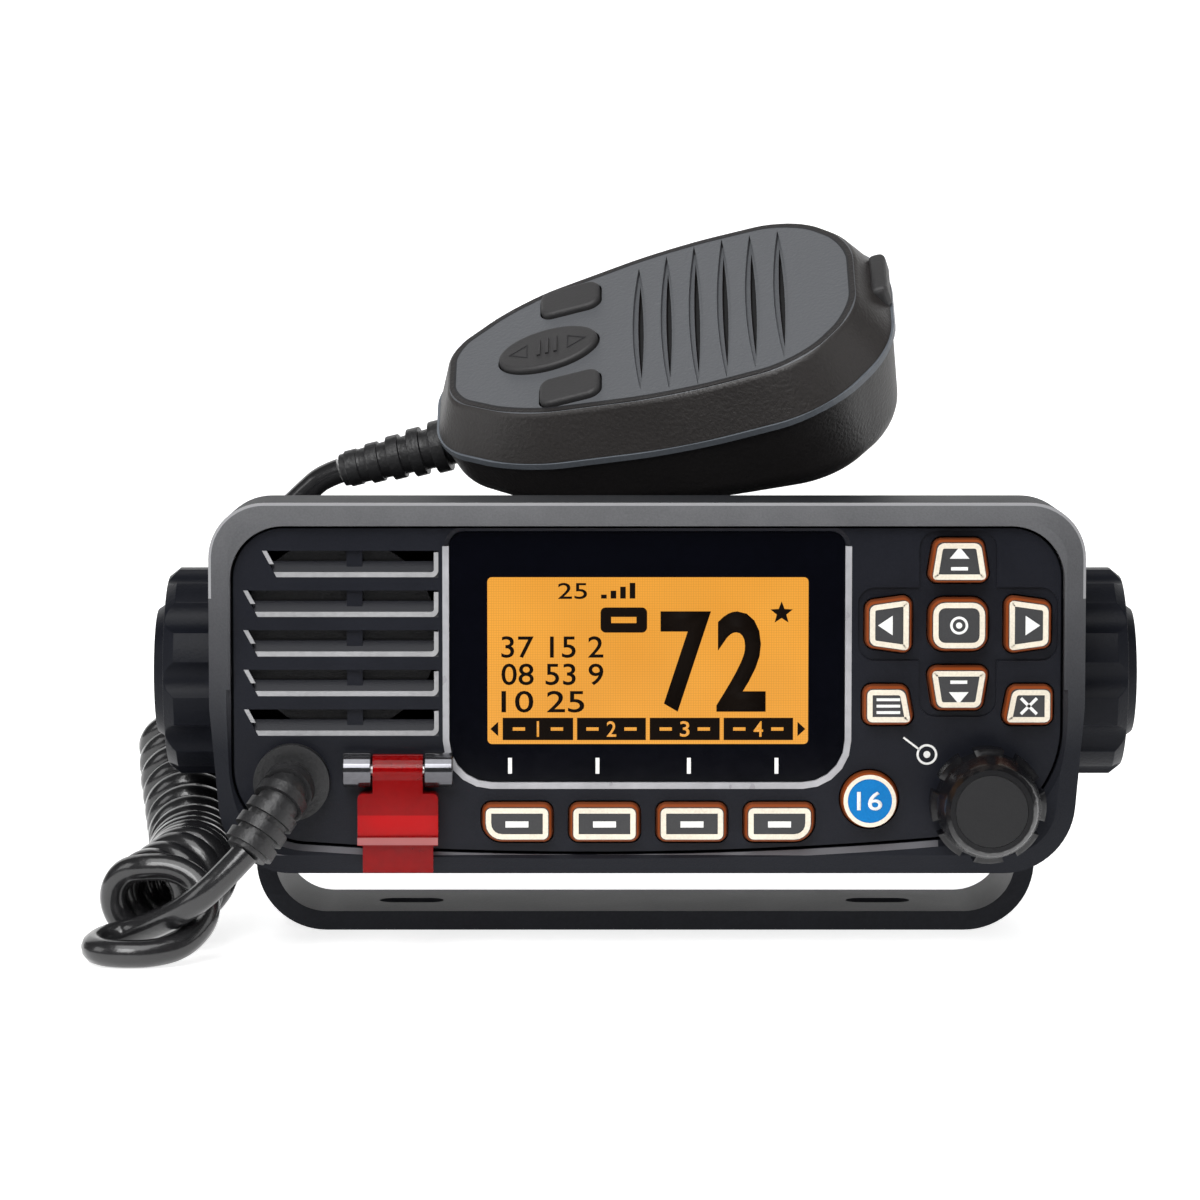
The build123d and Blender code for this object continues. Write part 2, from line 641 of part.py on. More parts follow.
def front_panel():
    """Deep moulded frame: bevelled front, open back with a ledge for the gasket."""
    bevel_back = PANEL_FACE + BEVEL_DEPTH
    body = prism(PANEL, bevel_back, PANEL_BACK)
    body += funnel(offset(PANEL, -BEVEL_INSET), PANEL_FACE, PANEL, bevel_back)
    body -= prism(OPENING, PANEL_FACE - PAST, PLATE_BACK)
    body -= lower_chamfer()
    body -= prism(offset(OPENING, -FRAME_LIP), PLATE_BACK - PAST, PANEL_BACK + PAST)
    body -= prism(INSIDE, LIP_BACK, PANEL_BACK + PAST)
    body -= prism(offset(PANEL, -PANEL_WALL), LEDGE, PANEL_BACK + PAST)
    for outline in list(KEYS.values()) + [DISTRESS_OUTLINE]:
        body -= prism(offset(outline, KEY_FLANGE + GAP), PLATE_BACK, LIP_BACK + PAST)
    body -= prism(encoder_outline(GAP), PLATE_BACK, LIP_BACK + PAST)
    body -= rod(SPEAKER_MIDDLE, SPEAKER_RADIUS + GAP, PLATE_BACK, LIP_BACK + PAST)
    for place in screw_places():
        body += rod(place, BOSS_RADIUS, LIP_BACK, LEDGE) & prism(INSIDE, LIP_BACK - PAST, LEDGE + PAST)
        body -= rod(place, SCREW_RADIUS, LEDGE - SCREW_HOLE_DEPTH, LEDGE + PAST)
    return body


def lower_chamfer():
    """Cutter for the chamfer along the lower edge of the opening."""
    bevel = funnel(offset(OPENING, SILL), PANEL_FACE - RUN, OPENING, PANEL_FACE + SILL)
    return bevel & block(-PANEL_SIDE, PANEL_SIDE, PANEL_FACE - PAST, PLATE_FRONT, PANEL_BOTTOM,
                         PANEL_MIDDLE)


def screw_places():
    return [(side * SCREW_SIDE, height) for side in (-1, 1)
            for height in (PANEL_BOTTOM + SCREW_RISE, PANEL_TOP - SCREW_DROP)]


def slot_cutter(index):
    """One sound slot: a narrow opening over a sloping sill, with a slanted left end."""
    top = SLOT_TOP - index * SLOT_PITCH
    bottom = top - SLOT_HEIGHT
    throat = top - SLOT_OPENING
    left = SLOT_LEFT + (FIRST_SLOT_INSET if index == 0 else 0)
    front, back = PLATE_FRONT - PAST, PLATE_BACK + PAST
    profile = make_face(Polyline(
        (front, top), (back, top), (back, throat), (PLATE_FRONT + SLOT_SILL, throat),
        (PLATE_FRONT, bottom), (front, bottom), close=True))
    length = extrude(Plane.YZ.offset(left) * profile, amount=SLOT_RIGHT - left)
    shape = make_face(Polyline((left, top), (SLOT_RIGHT, top), (SLOT_RIGHT, bottom),
                               (left + SLOT_SLANT, bottom), close=True))
    middle = SPEAKER_MIDDLE[0] + SLOT_POST_SHIFT
    post = block(middle - SLOT_POST_WIDTH / 2, middle + SLOT_POST_WIDTH / 2,
                 PLATE_FRONT + SLOT_POST_RECESS, back, bottom - PAST, top + PAST)
    return (length & prism(shape, front, back)) - post


def face_plate():
    """Smooth plate in the frame, cut for the display, slots, keys, knob and cord."""
    front, back = PLATE_FRONT - PAST, PLATE_BACK + PAST
    plate = prism(offset(OPENING, -PLATE_GAP), PLATE_FRONT, PLATE_BACK)
    plate -= prism(WINDOW, front, back)
    plate -= funnel(offset(WINDOW, WINDOW_CHAMFER), PLATE_FRONT - RUN, WINDOW, PLATE_FRONT + WINDOW_CHAMFER)
    for index in range(SLOT_COUNT):
        plate -= slot_cutter(index)
    x, z = NAV_MIDDLE
    margin = 2 * NAV_MARGIN
    cross = pill((x, z), 2 * SIDE_OFFSET + SIDE_SIZE[0] + margin, SIDE_SIZE[1] + margin, NAV_CORNER)
    cross += pill((x, z), UP_SIZE[0] + margin, 2 * UP_OFFSET + UP_SIZE[1] + margin, NAV_CORNER)
    plate -= prism(cross & offset(OPENING, -2 * PLATE_GAP), front, PLATE_FRONT + NAV_RECESS)
    for outline in list(KEYS.values()) + [DISTRESS_OUTLINE]:
        plate -= prism(offset(outline, GAP), front, back)
    plate -= rod(VOLUME_MIDDLE, SLEEVE_RADIUS + BUSH_WALL + RUN, front, back)
    plate -= rod(PANEL_EXIT, BOOT_NECK + RUN, front, back)
    return plate


def key(outline):
    """Key cap with sloping sides, and a flange behind the plate that keeps it in."""
    shoulder = PLATE_FRONT - KEY_SHOULDER
    cap = funnel(offset(outline, -KEY_SLOPE), KEY_FRONT, outline, shoulder)
    stem = prism(outline, shoulder, FLANGE_START)
    return cap + stem + prism(offset(outline, KEY_FLANGE), FLANGE_START, FLANGE_BACK)


def span(outlines):
    """Rectangle round a group of outlines, with the mat's margin."""
    boxes = [outline.bounding_box() for outline in outlines]
    left = min(box.min.X for box in boxes) - MAT_MARGIN
    right = max(box.max.X for box in boxes) + MAT_MARGIN
    low = min(box.min.Y for box in boxes) - MAT_MARGIN
    high = max(box.max.Y for box in boxes) + MAT_MARGIN
    return pill(((left + right) / 2, (low + high) / 2), right - left, high - low, BOARD_CORNER)


def keypad_mat():
    """Rubber mat: a strip under the display and a block behind the cross of keys."""
    softkeys = [outline for name, outline in KEYS.items() if name.startswith("softkey")]
    strip = span(softkeys + [DISTRESS_OUTLINE])
    bridge = span([KEYS["softkey_4"], KEYS["key_channel"]])
    right = span([outline for name, outline in KEYS.items() if not name.startswith("softkey")])
    mat = prism((strip + bridge + right) & offset(INSIDE, -GAP), MAT_FRONT, MAT_BACK)
    for hole in (encoder_outline(GAP), module_outline(GAP)):
        mat -= prism(hole, MAT_FRONT - PAST, MAT_BACK + PAST)
    return mat - boss_clearance(MAT_FRONT, MAT_BACK)


def boss_clearance(front, back):
    clear = Part()
    for place in screw_places():
        clear += rod(place, BOSS_RADIUS + GAP, front - PAST, back + PAST)
    return clear


def key_switches():
    """Dome switches, one under each key."""
    switches = Part()
    for outline in list(KEYS.values()) + [DISTRESS_OUTLINE]:
        place = outline.center()
        switches += rod((place.X, place.Y), SWITCH_RADIUS, MAT_BACK, BOARD_FRONT)
    return switches


def logic_board():
    """Board beside the speaker, with a tail that runs under it to the distress button."""
    across, up = LOGIC_TAIL_SHIFT
    board = pill(LOGIC_MIDDLE, *LOGIC_SIZE, BOARD_CORNER)
    board += pill((DISTRESS[0] + across, DISTRESS[1] + up), *LOGIC_TAIL_SIZE, BOARD_CORNER)
    board &= offset(INSIDE, -GAP)
    return prism(board, BOARD_FRONT, BOARD_BACK) - boss_clearance(BOARD_FRONT, BOARD_BACK)


def display_window():
    front = PLATE_FRONT + LENS_SET_BACK
    return prism(offset(WINDOW, -LENS_GAP), front, front + LENS_THICKNESS)


def module_outline(clearance):
    return pill((0, MODULE_MIDDLE), MODULE_WIDTH + 2 * clearance, MODULE_HEIGHT + 2 * clearance,
                MODULE_CORNER)


def display_module():
    """Backlit display in its tray, carried on the logic board by four legs."""
    front = PLATE_BACK + SEAT_GAP
    back = front + MODULE_THICKNESS
    module = prism(module_outline(0), front, back)
    for side in (-1, 1):
        for end in (-1, 1):
            spot = (side * (MODULE_WIDTH / 2 - LEG_INSET),
                    MODULE_MIDDLE + end * (MODULE_HEIGHT / 2 - LEG_INSET))
            module += rod(spot, LEG_RADIUS, back, BOARD_FRONT)
    return module


# ------------------------------------------------------------------ speaker

def speaker_membrane():
    return rod(SPEAKER_MIDDLE, SPEAKER_RADIUS, PLATE_BACK, RIM_FRONT)


def speaker_basket():
    """Pressed basket: a rim behind the plate and a dish that carries the magnet."""
    mouth = SPEAKER_RADIUS - RIM_WIDTH
    rim = rod(SPEAKER_MIDDLE, SPEAKER_RADIUS, RIM_FRONT, RIM_BACK)
    outer = cone(SPEAKER_MIDDLE, mouth, RIM_BACK, DISH_RADIUS, DISH_BACK)
    inner = cone(SPEAKER_MIDDLE, mouth - DISH_WALL, RIM_FRONT - RUN, DISH_RADIUS - DISH_WALL,
                 DISH_BACK - DISH_WALL)
    coil_hole = rod(SPEAKER_MIDDLE, COIL_RADIUS + COIL_CLEARANCE, DISH_BACK - 2 * DISH_WALL,
                    DISH_BACK + PAST)
    return rim + outer - inner - coil_hole


def speaker_cone():
    """Paper cone with its coil former, which moves in the hole of the basket."""
    front = RIM_FRONT + GAP
    back = front + CONE_DEPTH
    outer = cone(SPEAKER_MIDDLE, CONE_RADIUS, front, COIL_RADIUS, back)
    inner = cone(SPEAKER_MIDDLE, CONE_RADIUS, front - CONE_WALL, COIL_RADIUS, back - CONE_WALL)
    return outer - inner + rod(SPEAKER_MIDDLE, COIL_RADIUS, back - CONE_WALL, back + COIL_LENGTH)


def speaker_magnet():
    return rod(SPEAKER_MIDDLE, MAGNET_RADIUS, DISH_BACK, DISH_BACK + MAGNET_THICKNESS)


# ------------------------------------------------------------------ volume control

def encoder_outline(clearance):
    size = ENCODER_SIZE + 2 * clearance
    return pill(VOLUME_MIDDLE, size, size, ENCODER_CORNER)


def encoder_body():
    """Rotary encoder: square case on the board and a bush through the plate."""
    case_front = PLATE_BACK + SEAT_GAP
    case = prism(encoder_outline(0), case_front, BOARD_FRONT)
    bush = rod(VOLUME_MIDDLE, SLEEVE_RADIUS + BUSH_WALL, BUSH_FRONT, case_front)
    bore = rod(VOLUME_MIDDLE, SLEEVE_RADIUS + RUN, BUSH_FRONT - PAST, BOARD_FRONT - ENCODER_FLOOR)
    return case + bush - bore


def encoder_sleeve():
    sleeve = rod(VOLUME_MIDDLE, SLEEVE_RADIUS, BUSH_FRONT, PLUNGER_BACK)
    return sleeve - rod(VOLUME_MIDDLE, SHAFT_RADIUS + RUN, BUSH_FRONT - PAST, PLUNGER_BACK + PAST)


def encoder_shaft():
    return rod(VOLUME_MIDDLE, SHAFT_RADIUS, VOLUME_FRONT + SHAFT_SET_BACK, PLUNGER_BACK)


def volume_knob():
    """Turned knob: notched skirt, sloping flank, bevelled rim and a recess for its cap."""
    base = PANEL_FACE - VOLUME_CLEAR
    height = base - VOLUME_FRONT
    rim = CAP_RADIUS + CAP_RIM
    profile = make_face(Polyline(
        (0, 0), (VOLUME_RADIUS, 0), (VOLUME_RADIUS, SKIRT_HEIGHT),
        (VOLUME_RADIUS - SKIRT_CHAMFER, SKIRT_HEIGHT + SKIRT_CHAMFER),
        (rim + RIM_BEVEL / 2, height - RIM_HEIGHT), (rim - RIM_BEVEL / 2, height), (0, height), close=True))
    knob = revolve(Plane.XZ * profile, axis=Axis.Z)
    notch = Pos(VOLUME_RADIUS, 0) * Box(2 * NOTCH_DEPTH, NOTCH_WIDTH, 4 * height)
    for index in range(VOLUME_NOTCHES):
        knob -= Rot(Z=NOTCH_TURN + index * 360 / VOLUME_NOTCHES) * notch
    knob -= upright((0, 0), CAP_RADIUS, height - CAP_THICKNESS, height + PAST)
    knob -= upright((0, 0), SHAFT_RADIUS, -PAST, height - SHAFT_SET_BACK)
    return Pos(VOLUME_MIDDLE[0], base, VOLUME_MIDDLE[1]) * Rot(X=90) * knob


def knob_cap():
    return rod(VOLUME_MIDDLE, CAP_RADIUS - RUN, VOLUME_FRONT - CAP_RISE, VOLUME_FRONT + CAP_THICKNESS)


# ------------------------------------------------------------------ distress button and cover

def hinge_spans():
    """X ranges of the left boss, the cover's knuckle and the right boss."""
    left, right = DISTRESS[0] - KNUCKLE_WIDTH / 2, DISTRESS[0] + KNUCKLE_WIDTH / 2
    return (left - GAP - BOSS_WIDTH, left - GAP), (left, right), (right + GAP, right + GAP + BOSS_WIDTH)


def hinge_bosses():
    """Round boss on a foot at each end of the cover's knuckle."""
    left, _, right = hinge_spans()
    bosses = Part()
    for start, end in (left, right):
        boss = cross_rod(HINGE_DEPTH, HINGE_HEIGHT, HINGE_RADIUS, start, end)
        boss += block(start, end, HINGE_DEPTH, PLATE_FRONT, HINGE_HEIGHT - HINGE_FOOT,
                      HINGE_HEIGHT + HINGE_FOOT)
        bosses += boss - cross_rod(HINGE_DEPTH, HINGE_HEIGHT, PIN_RADIUS, start - PAST, end + PAST)
    return bosses


def cover_hinge_pin():
    left, _, right = hinge_spans()
    return cross_rod(HINGE_DEPTH, HINGE_HEIGHT, PIN_RADIUS, left[0] + PIN_INSET, right[1] - PIN_INSET)


def distress_cover():
    """See-through flip cover: knuckle, strap, hollow hood, ridge and lifting lip."""
    left, right = COVER_LEFT, COVER_LEFT + COVER_WIDTH
    back = PLATE_FRONT - COVER_CLEAR
    _, knuckle, _ = hinge_spans()
    cover = block(left, right, COVER_FRONT, back, COVER_BOTTOM, COVER_TOP)
    cover = fillet(cover.edges().filter_by(Axis.Y), COVER_CORNER)
    cover -= block(left + COVER_WALL, right - COVER_WALL, COVER_FRONT + COVER_WALL, back + PAST,
                   COVER_BOTTOM + COVER_WALL, COVER_TOP - COVER_WALL)
    cover += block(*knuckle, COVER_FRONT, back, COVER_TOP - STRAP_OVERLAP, HINGE_HEIGHT)
    cover += cross_rod(HINGE_DEPTH, HINGE_HEIGHT, KNUCKLE_RADIUS, *knuckle)
    cover -= cross_rod(HINGE_DEPTH, HINGE_HEIGHT, PIN_RADIUS + RUN, knuckle[0] - PAST, knuckle[1] + PAST)
    ridge_low = COVER_BOTTOM + RIDGE_PLACE
    cover += block(left, right, COVER_FRONT - RIDGE_RISE, COVER_FRONT, ridge_low, ridge_low + RIDGE_HEIGHT)
    cover += block(left + LIP_INSET, right - LIP_INSET, COVER_FRONT + LIP_SET_BACK, PANEL_FACE - LIP_CLEAR,
                   COVER_BOTTOM - COVER_LIP, COVER_BOTTOM)
    return cover


def distress_button():
    front = COVER_FRONT + COVER_WALL + BUTTON_CLEAR
    button = prism(DISTRESS_OUTLINE, front, FLANGE_START)
    return button + prism(offset(DISTRESS_OUTLINE, KEY_FLANGE), FLANGE_START, FLANGE_BACK)


# ------------------------------------------------------------------ chassis and what it holds

def flange_outline():
    return offset(PANEL, -PANEL_WALL - GAP)


def insert_span(side):
    """X range of the threaded insert on one side."""
    return sorted((side * CHASSIS_SIDE, side * (CHASSIS_SIDE - INSERT_LENGTH)))


def chassis():
    """Die-cast case: front flange, finned back, side bosses and board standoffs."""
    outer = pill((0, CHASSIS_MIDDLE), CHASSIS_WIDTH, CHASSIS_HEIGHT, CHASSIS_CORNER)
    inner = pill((0, CHASSIS_MIDDLE), CHASSIS_WIDTH - 2 * CHASSIS_WALL,
                 CHASSIS_HEIGHT - 2 * CHASSIS_WALL, CHASSIS_INNER_CORNER)
    case = prism(outer, FLANGE_FRONT, FIN_FRONT)
    case += prism(flange_outline(), FLANGE_FRONT, CHASSIS_FLANGE_BACK)
    case -= prism(inner, FLANGE_FRONT - PAST, FIN_FRONT - CHASSIS_WALL)
    count = int((CHASSIS_WIDTH - FIN_THICKNESS) // FIN_PITCH) + 1
    first = -(count - 1) * FIN_PITCH / 2
    for index in range(count):
        x = first + index * FIN_PITCH
        case += block(x - FIN_THICKNESS / 2, x + FIN_THICKNESS / 2, FIN_FRONT - FIN_ROOT, CHASSIS_BACK,
                      CHASSIS_BOTTOM + FIN_MARGIN, CHASSIS_TOP - FIN_MARGIN)
    for (x, z), size in ((SOCKET_PLACE, SOCKET_FLANGE / 2), (GLAND_PLACE, GLAND_RADIUS)):
        reach = size + PAD_MARGIN
        case -= block(x - reach, x + reach, FIN_FRONT, CHASSIS_BACK + PAST, z - reach, z + reach)
    for side in (-1, 1):
        left, right = insert_span(side)
        case += cross_rod(0, TILT_HEIGHT, INSERT_RADIUS + INSERT_WALL, left, right)
        case -= cross_rod(0, TILT_HEIGHT, INSERT_RADIUS, left - PAST, right + PAST)
    across, along = STANDOFF_INSET
    for x in (across - MAIN_BOARD_SIDE, MAIN_BOARD_SIDE - across):
        for y in (MAIN_BOARD_FRONT + along, MAIN_BOARD_BACK - along):
            case += upright((x, y), STANDOFF_RADIUS, CHASSIS_BOTTOM + CHASSIS_WALL / 2, MAIN_BOARD_LOW)
    for place in screw_places():
        case -= rod(place, SCREW_RADIUS + SCREW_CLEARANCE, FLANGE_FRONT - PAST, CHASSIS_FLANGE_BACK + PAST)
        case -= rod(place, HEAD_RADIUS + SCREW_CLEARANCE, CHASSIS_FLANGE_BACK - HEAD_HEIGHT,
                    CHASSIS_FLANGE_BACK + PAST)
    wall_front = FIN_FRONT - CHASSIS_WALL - PAST
    case -= rod(SOCKET_PLACE, SOCKET_NECK, wall_front, FIN_FRONT + PAST)
    return case - rod(GLAND_PLACE, GLAND_NECK, wall_front, FIN_FRONT + PAST)


def panel_gasket():
    ring = prism(flange_outline(), LEDGE, FLANGE_FRONT) - prism(INSIDE, LEDGE - PAST, FLANGE_FRONT + PAST)
    for place in screw_places():
        ring -= rod(place, BOSS_RADIUS, LEDGE - PAST, FLANGE_FRONT + PAST)
    return ring


def panel_screws():
    """Socket-head screws through the flange into the panel's bosses."""
    under_head = CHASSIS_FLANGE_BACK - HEAD_HEIGHT
    screws = Part()
    for place in screw_places():
        screw = rod(place, SCREW_RADIUS, under_head - SCREW_LENGTH, under_head)
        screw += rod(place, HEAD_RADIUS, under_head, CHASSIS_FLANGE_BACK)
        socket_floor = under_head + SCREW_SOCKET_FLOOR
        screws += screw - rod(place, SCREW_SOCKET, socket_floor, CHASSIS_FLANGE_BACK + PAST)
    return screws


def main_board():
    """Transceiver board with its screening can and power block, on four standoffs."""
    top = MAIN_BOARD_LOW + BOARD_THICKNESS
    board = block(-MAIN_BOARD_SIDE, MAIN_BOARD_SIDE, MAIN_BOARD_FRONT, MAIN_BOARD_BACK, MAIN_BOARD_LOW, top)
    width, depth, height = SHIELD_SIZE
    left, front = SHIELD_INSET[0] - MAIN_BOARD_SIDE, MAIN_BOARD_FRONT + SHIELD_INSET[1]
    board += block(left, left + width, front, front + depth, top, top + height)
    width, depth, height = POWER_BLOCK_SIZE
    right, back = MAIN_BOARD_SIDE - POWER_BLOCK_INSET[0], MAIN_BOARD_BACK - POWER_BLOCK_INSET[1]
    return board + block(right - width, right, back - depth, back, top, top + height)


def antenna_socket():
    """Coaxial socket: square flange, threaded barrel, insulator and centre contact."""
    face = FIN_FRONT + SOCKET_FLANGE_THICKNESS
    end = face + SOCKET_LENGTH
    floor = face + SOCKET_FLOOR
    socket = prism(pill(SOCKET_PLACE, SOCKET_FLANGE, SOCKET_FLANGE, SOCKET_FLANGE_CORNER), FIN_FRONT, face)
    socket += rod(SOCKET_PLACE, SOCKET_RADIUS, face, end)
    socket += rod(SOCKET_PLACE, SOCKET_NECK, FIN_FRONT - SOCKET_NECK_LENGTH, FIN_FRONT)
    socket -= rod(SOCKET_PLACE, SOCKET_RADIUS - SOCKET_WALL, floor, end + PAST)
    socket += rod(SOCKET_PLACE, INSULATOR_RADIUS, floor, end - INSULATOR_SET_BACK)
    return socket - rod(SOCKET_PLACE, CONTACT_RADIUS, floor, end + PAST)


def power_gland():
    wall_front = FIN_FRONT - CHASSIS_WALL
    end = FIN_FRONT + GLAND_LENGTH
    gland = rod(GLAND_PLACE, GLAND_RADIUS, FIN_FRONT, end)
    gland += rod(GLAND_PLACE, GLAND_NECK, wall_front, FIN_FRONT)
    return gland - rod(GLAND_PLACE, GLAND_BORE, wall_front - PAST, end + PAST)


def pivot_inserts():
    inserts = Part()
    for side in (-1, 1):
        left, right = insert_span(side)
        insert = cross_rod(0, TILT_HEIGHT, INSERT_RADIUS, left, right)
        inserts += insert - cross_rod(0, TILT_HEIGHT, BOLT_RADIUS + RUN, left - PAST, right + PAST)
    return inserts


def friction_pads():
    """Rubber washers between the case and the bracket's arms."""
    pads = Part()
    hole = BOLT_RADIUS + FRICTION_PAD_CLEARANCE
    for side in (-1, 1):
        left, right = sorted((side * CHASSIS_SIDE, side * (CHASSIS_SIDE + FRICTION_PAD_THICKNESS)))
        pad = cross_rod(0, TILT_HEIGHT, FRICTION_PAD_RADIUS, left, right)
        pads += pad - cross_rod(0, TILT_HEIGHT, hole, left - PAST, right + PAST)
    return pads


# ------------------------------------------------------------------ bracket

def u_outline(half_width, low, high, corner):
    points = [(-half_width, high), (half_width, high), (half_width, low), (-half_width, low)]
    return rounded(points, [0, 0, corner, corner])


def bracket():
    """U bracket pressed from strip: rounded corners, round arm ends, two mounting slots."""
    top = TILT_HEIGHT + ARM_ROUND + PAST
    half = BRACKET_DEPTH / 2
    outer = u_outline(ARM_OUTER, 0, top, BRACKET_CORNER)
    inner = u_outline(ARM_INNER, BRACKET_THICKNESS, top + PAST, BRACKET_CORNER - BRACKET_THICKNESS)
    strip = prism(outer, -half, half) - prism(inner, -half - PAST, half + PAST)
    side = make_face(Polyline((-half, -PAST), (half, -PAST), (half, ARM_START), (ARM_ROUND, TILT_HEIGHT),
                              (-ARM_ROUND, TILT_HEIGHT), (-half, ARM_START), close=True))
    side += Pos(0, TILT_HEIGHT) * Circle(ARM_ROUND)
    reach = ARM_OUTER + PAST
    strip &= extrude(Plane.YZ.offset(-reach) * side, amount=2 * reach)
    strip -= cross_rod(0, TILT_HEIGHT, BOLT_RADIUS + RUN, -reach, reach)
    slot = SlotOverall(BRACKET_SLOT_LENGTH, 2 * BRACKET_SLOT_RADIUS)
    for place in (-BRACKET_SLOT_SPACING / 2, BRACKET_SLOT_SPACING / 2):
        outline = Plane.XY.offset(-PAST) * (Pos(place, 0) * slot)
        strip -= extrude(outline, amount=BRACKET_THICKNESS + 2 * PAST)
    return strip


def bracket_knob():
    """Right-hand knob, drawn with its axis on Z: fluted grip on a collar, with a raised cap."""
    outline = Circle(KNOB_RADIUS)
    reach = KNOB_RADIUS + KNOB_FLUTE_RADIUS - KNOB_FLUTE_DEPTH
    for index in range(KNOB_FLUTES):
        outline -= Rot(Z=(index + 0.5) * 360 / KNOB_FLUTES) * Pos(reach, 0) * Circle(KNOB_FLUTE_RADIUS)
    grip = extrude(Plane.XY.offset(GRIP_START) * outline, amount=KNOB_END - GRIP_START)
    bevelled = make_face(Polyline(
        (0, GRIP_START), (KNOB_RADIUS, GRIP_START), (KNOB_RADIUS, KNOB_END - KNOB_BEVEL_LENGTH),
        (KNOB_RADIUS - KNOB_BEVEL, KNOB_END), (0, KNOB_END), close=True))
    grip &= revolve(Plane.XZ * bevelled, axis=Axis.Z)
    collar = upright((0, 0), KNOB_COLLAR_RADIUS, KNOB_START, GRIP_START)
    cap = loft([Plane.XY.offset(KNOB_END) * Circle(KNOB_CAP_RADIUS),
                Plane.XY.offset(KNOB_OUTER) * Circle(KNOB_CAP_RADIUS - KNOB_CAP_BEVEL)], ruled=True)
    return grip + collar + cap - upright((0, 0), BOLT_RADIUS, KNOB_START - PAST, KNOB_END - BOLT_BURIED)


def knob_bolt():
    start = CHASSIS_SIDE - INSERT_LENGTH + BOLT_INSET
    return upright((0, 0), BOLT_RADIUS, start, KNOB_END - BOLT_BURIED)


def on_tilt_axis(shape, side):
    """Stands a knob or bolt drawn on Z along the tilt axis, on one side."""
    return Pos(0, 0, TILT_HEIGHT) * Rot(Y=side * 90) * shape


# ------------------------------------------------------------------ microphone

def on_mic(shape):
    """From the microphone's own frame to where it lies on the case."""
    return Pos(*MIC_ORIGIN) * Rot(Z=MIC_TURN) * Rot(Y=-MIC_CLIMB) * Rot(X=MIC_ROLL) * shape


def mic_outline():
    """Plan of the shell at its seam: narrow cord end, broad round top end."""
    half = [(MIC_START, MIC_END_HALF_WIDTH), MIC_SHOULDER, (MIC_BROAD, MIC_HALF_WIDTH), MIC_CROWN,
            (MIC_END, MIC_TIP_HALF_WIDTH)]
    points = half + [(x, -y) for x, y in reversed(half)]
    return rounded(points, MIC_CORNERS + MIC_CORNERS[::-1])


MIC_OUTLINE = mic_outline()
MIC_CAVITY = offset(MIC_OUTLINE, -MIC_WALL)


def mic_slope(outline, low, high, inset):
    """Tapered body between two heights; the outline at the top is drawn in by an inset."""
    return loft([Plane.XY.offset(low) * outline, Plane.XY.offset(high) * offset(outline, -inset)],
                ruled=True)


def leaf(half_length, half_width):
    """Leaf outline, pointed at both ends, along Y."""
    top, bottom = (0, half_length), (0, -half_length)
    return make_face([ThreePointArc(top, (half_width, 0), bottom),
                      ThreePointArc(bottom, (-half_width, 0), top)])


def mic_key_outline(side):
    return pill((MIC_KEY_PLACE[0], side * MIC_KEY_PLACE[1]), *MIC_KEY_SIZE, MIC_KEY_CORNER)


def rocker_outline(clearance):
    length, width = MIC_ROCKER_SIZE
    return Pos(*MIC_ROCKER_PLACE) * Ellipse(length / 2 + clearance, width / 2 + clearance)


def mic_front_shell():
    """Front half: drawn-in face with leaf-shaped sound slots, key openings and screw bosses."""
    shell = mic_slope(MIC_OUTLINE, MIC_FRONT_LOW, 0, MIC_FACE_INSET)
    shell = fillet(shell.faces().sort_by(Axis.Z)[-1].edges(), MIC_FACE_ROUND)
    shell -= mic_slope(MIC_CAVITY, MIC_FRONT_LOW - RUN, -MIC_WALL, MIC_INNER_INSET)
    for index, half_length in enumerate(MIC_SLOT_HALF_LENGTHS):
        place = Pos(MIC_SLOT_FIRST + index * MIC_SLOT_PITCH, 0)
        slot = place * leaf(half_length, MIC_SLOT_WIDTH / 2)
        slit = place * leaf(half_length - MIC_SLIT_INSET, MIC_SLIT_WIDTH / 2)
        shell -= extrude(Plane.XY.offset(-MIC_SLOT_DEPTH) * slot, amount=MIC_SLOT_DEPTH + PAST)
        shell -= extrude(Plane.XY.offset(-MIC_WALL - PAST) * slit, amount=MIC_WALL + PAST)
    for outline in (offset(mic_key_outline(1), GAP), offset(mic_key_outline(-1), GAP), rocker_outline(GAP)):
        shell -= extrude(Plane.XY.offset(-MIC_WALL - PAST) * outline, amount=MIC_WALL + 2 * PAST)
    for place in MIC_SCREW_PLACES:
        shell += upright(place, MIC_BOSS_RADIUS, MIC_BOARD_FACE, -MIC_WALL)
        shell -= upright(place, MIC_SCREW_RADIUS + RUN, MIC_BOARD_FACE - PAST, MIC_SCREW_TIP + GAP)
    return shell


def back_height(x):
    """Height of the shell's sloping back at a distance along it."""
    share = (x - MIC_START) / (MIC_END - MIC_START)
    return MIC_BACK_START + share * (MIC_BACK_END - MIC_BACK_START)


def mic_back_body(outline, low_start, low_end, rounding):
    """Rear half: sides drawn in downwards, back sloping from the cord end to the top end."""
    depth = MIC_REAR_TOP - MIC_BACK_END + PAST
    inset = depth * math.tan(math.radians(MIC_FLANK_SLOPE))
    body = loft([Plane.XY.offset(MIC_REAR_TOP) * outline,
                 Plane.XY.offset(MIC_REAR_TOP - depth) * offset(outline, -inset)], ruled=True)
    run = MIC_END - MIC_START
    slope = math.degrees(math.atan2(low_start - low_end, run))
    below = Pos(run / 2, 0, -depth / 2) * Box(2 * run, 4 * MIC_HALF_WIDTH, depth)
    body -= Pos(MIC_START, 0, low_start) * Rot(Y=slope) * below
    return fillet(body.faces().sort_by(Axis.Z)[0].edges(), rounding)


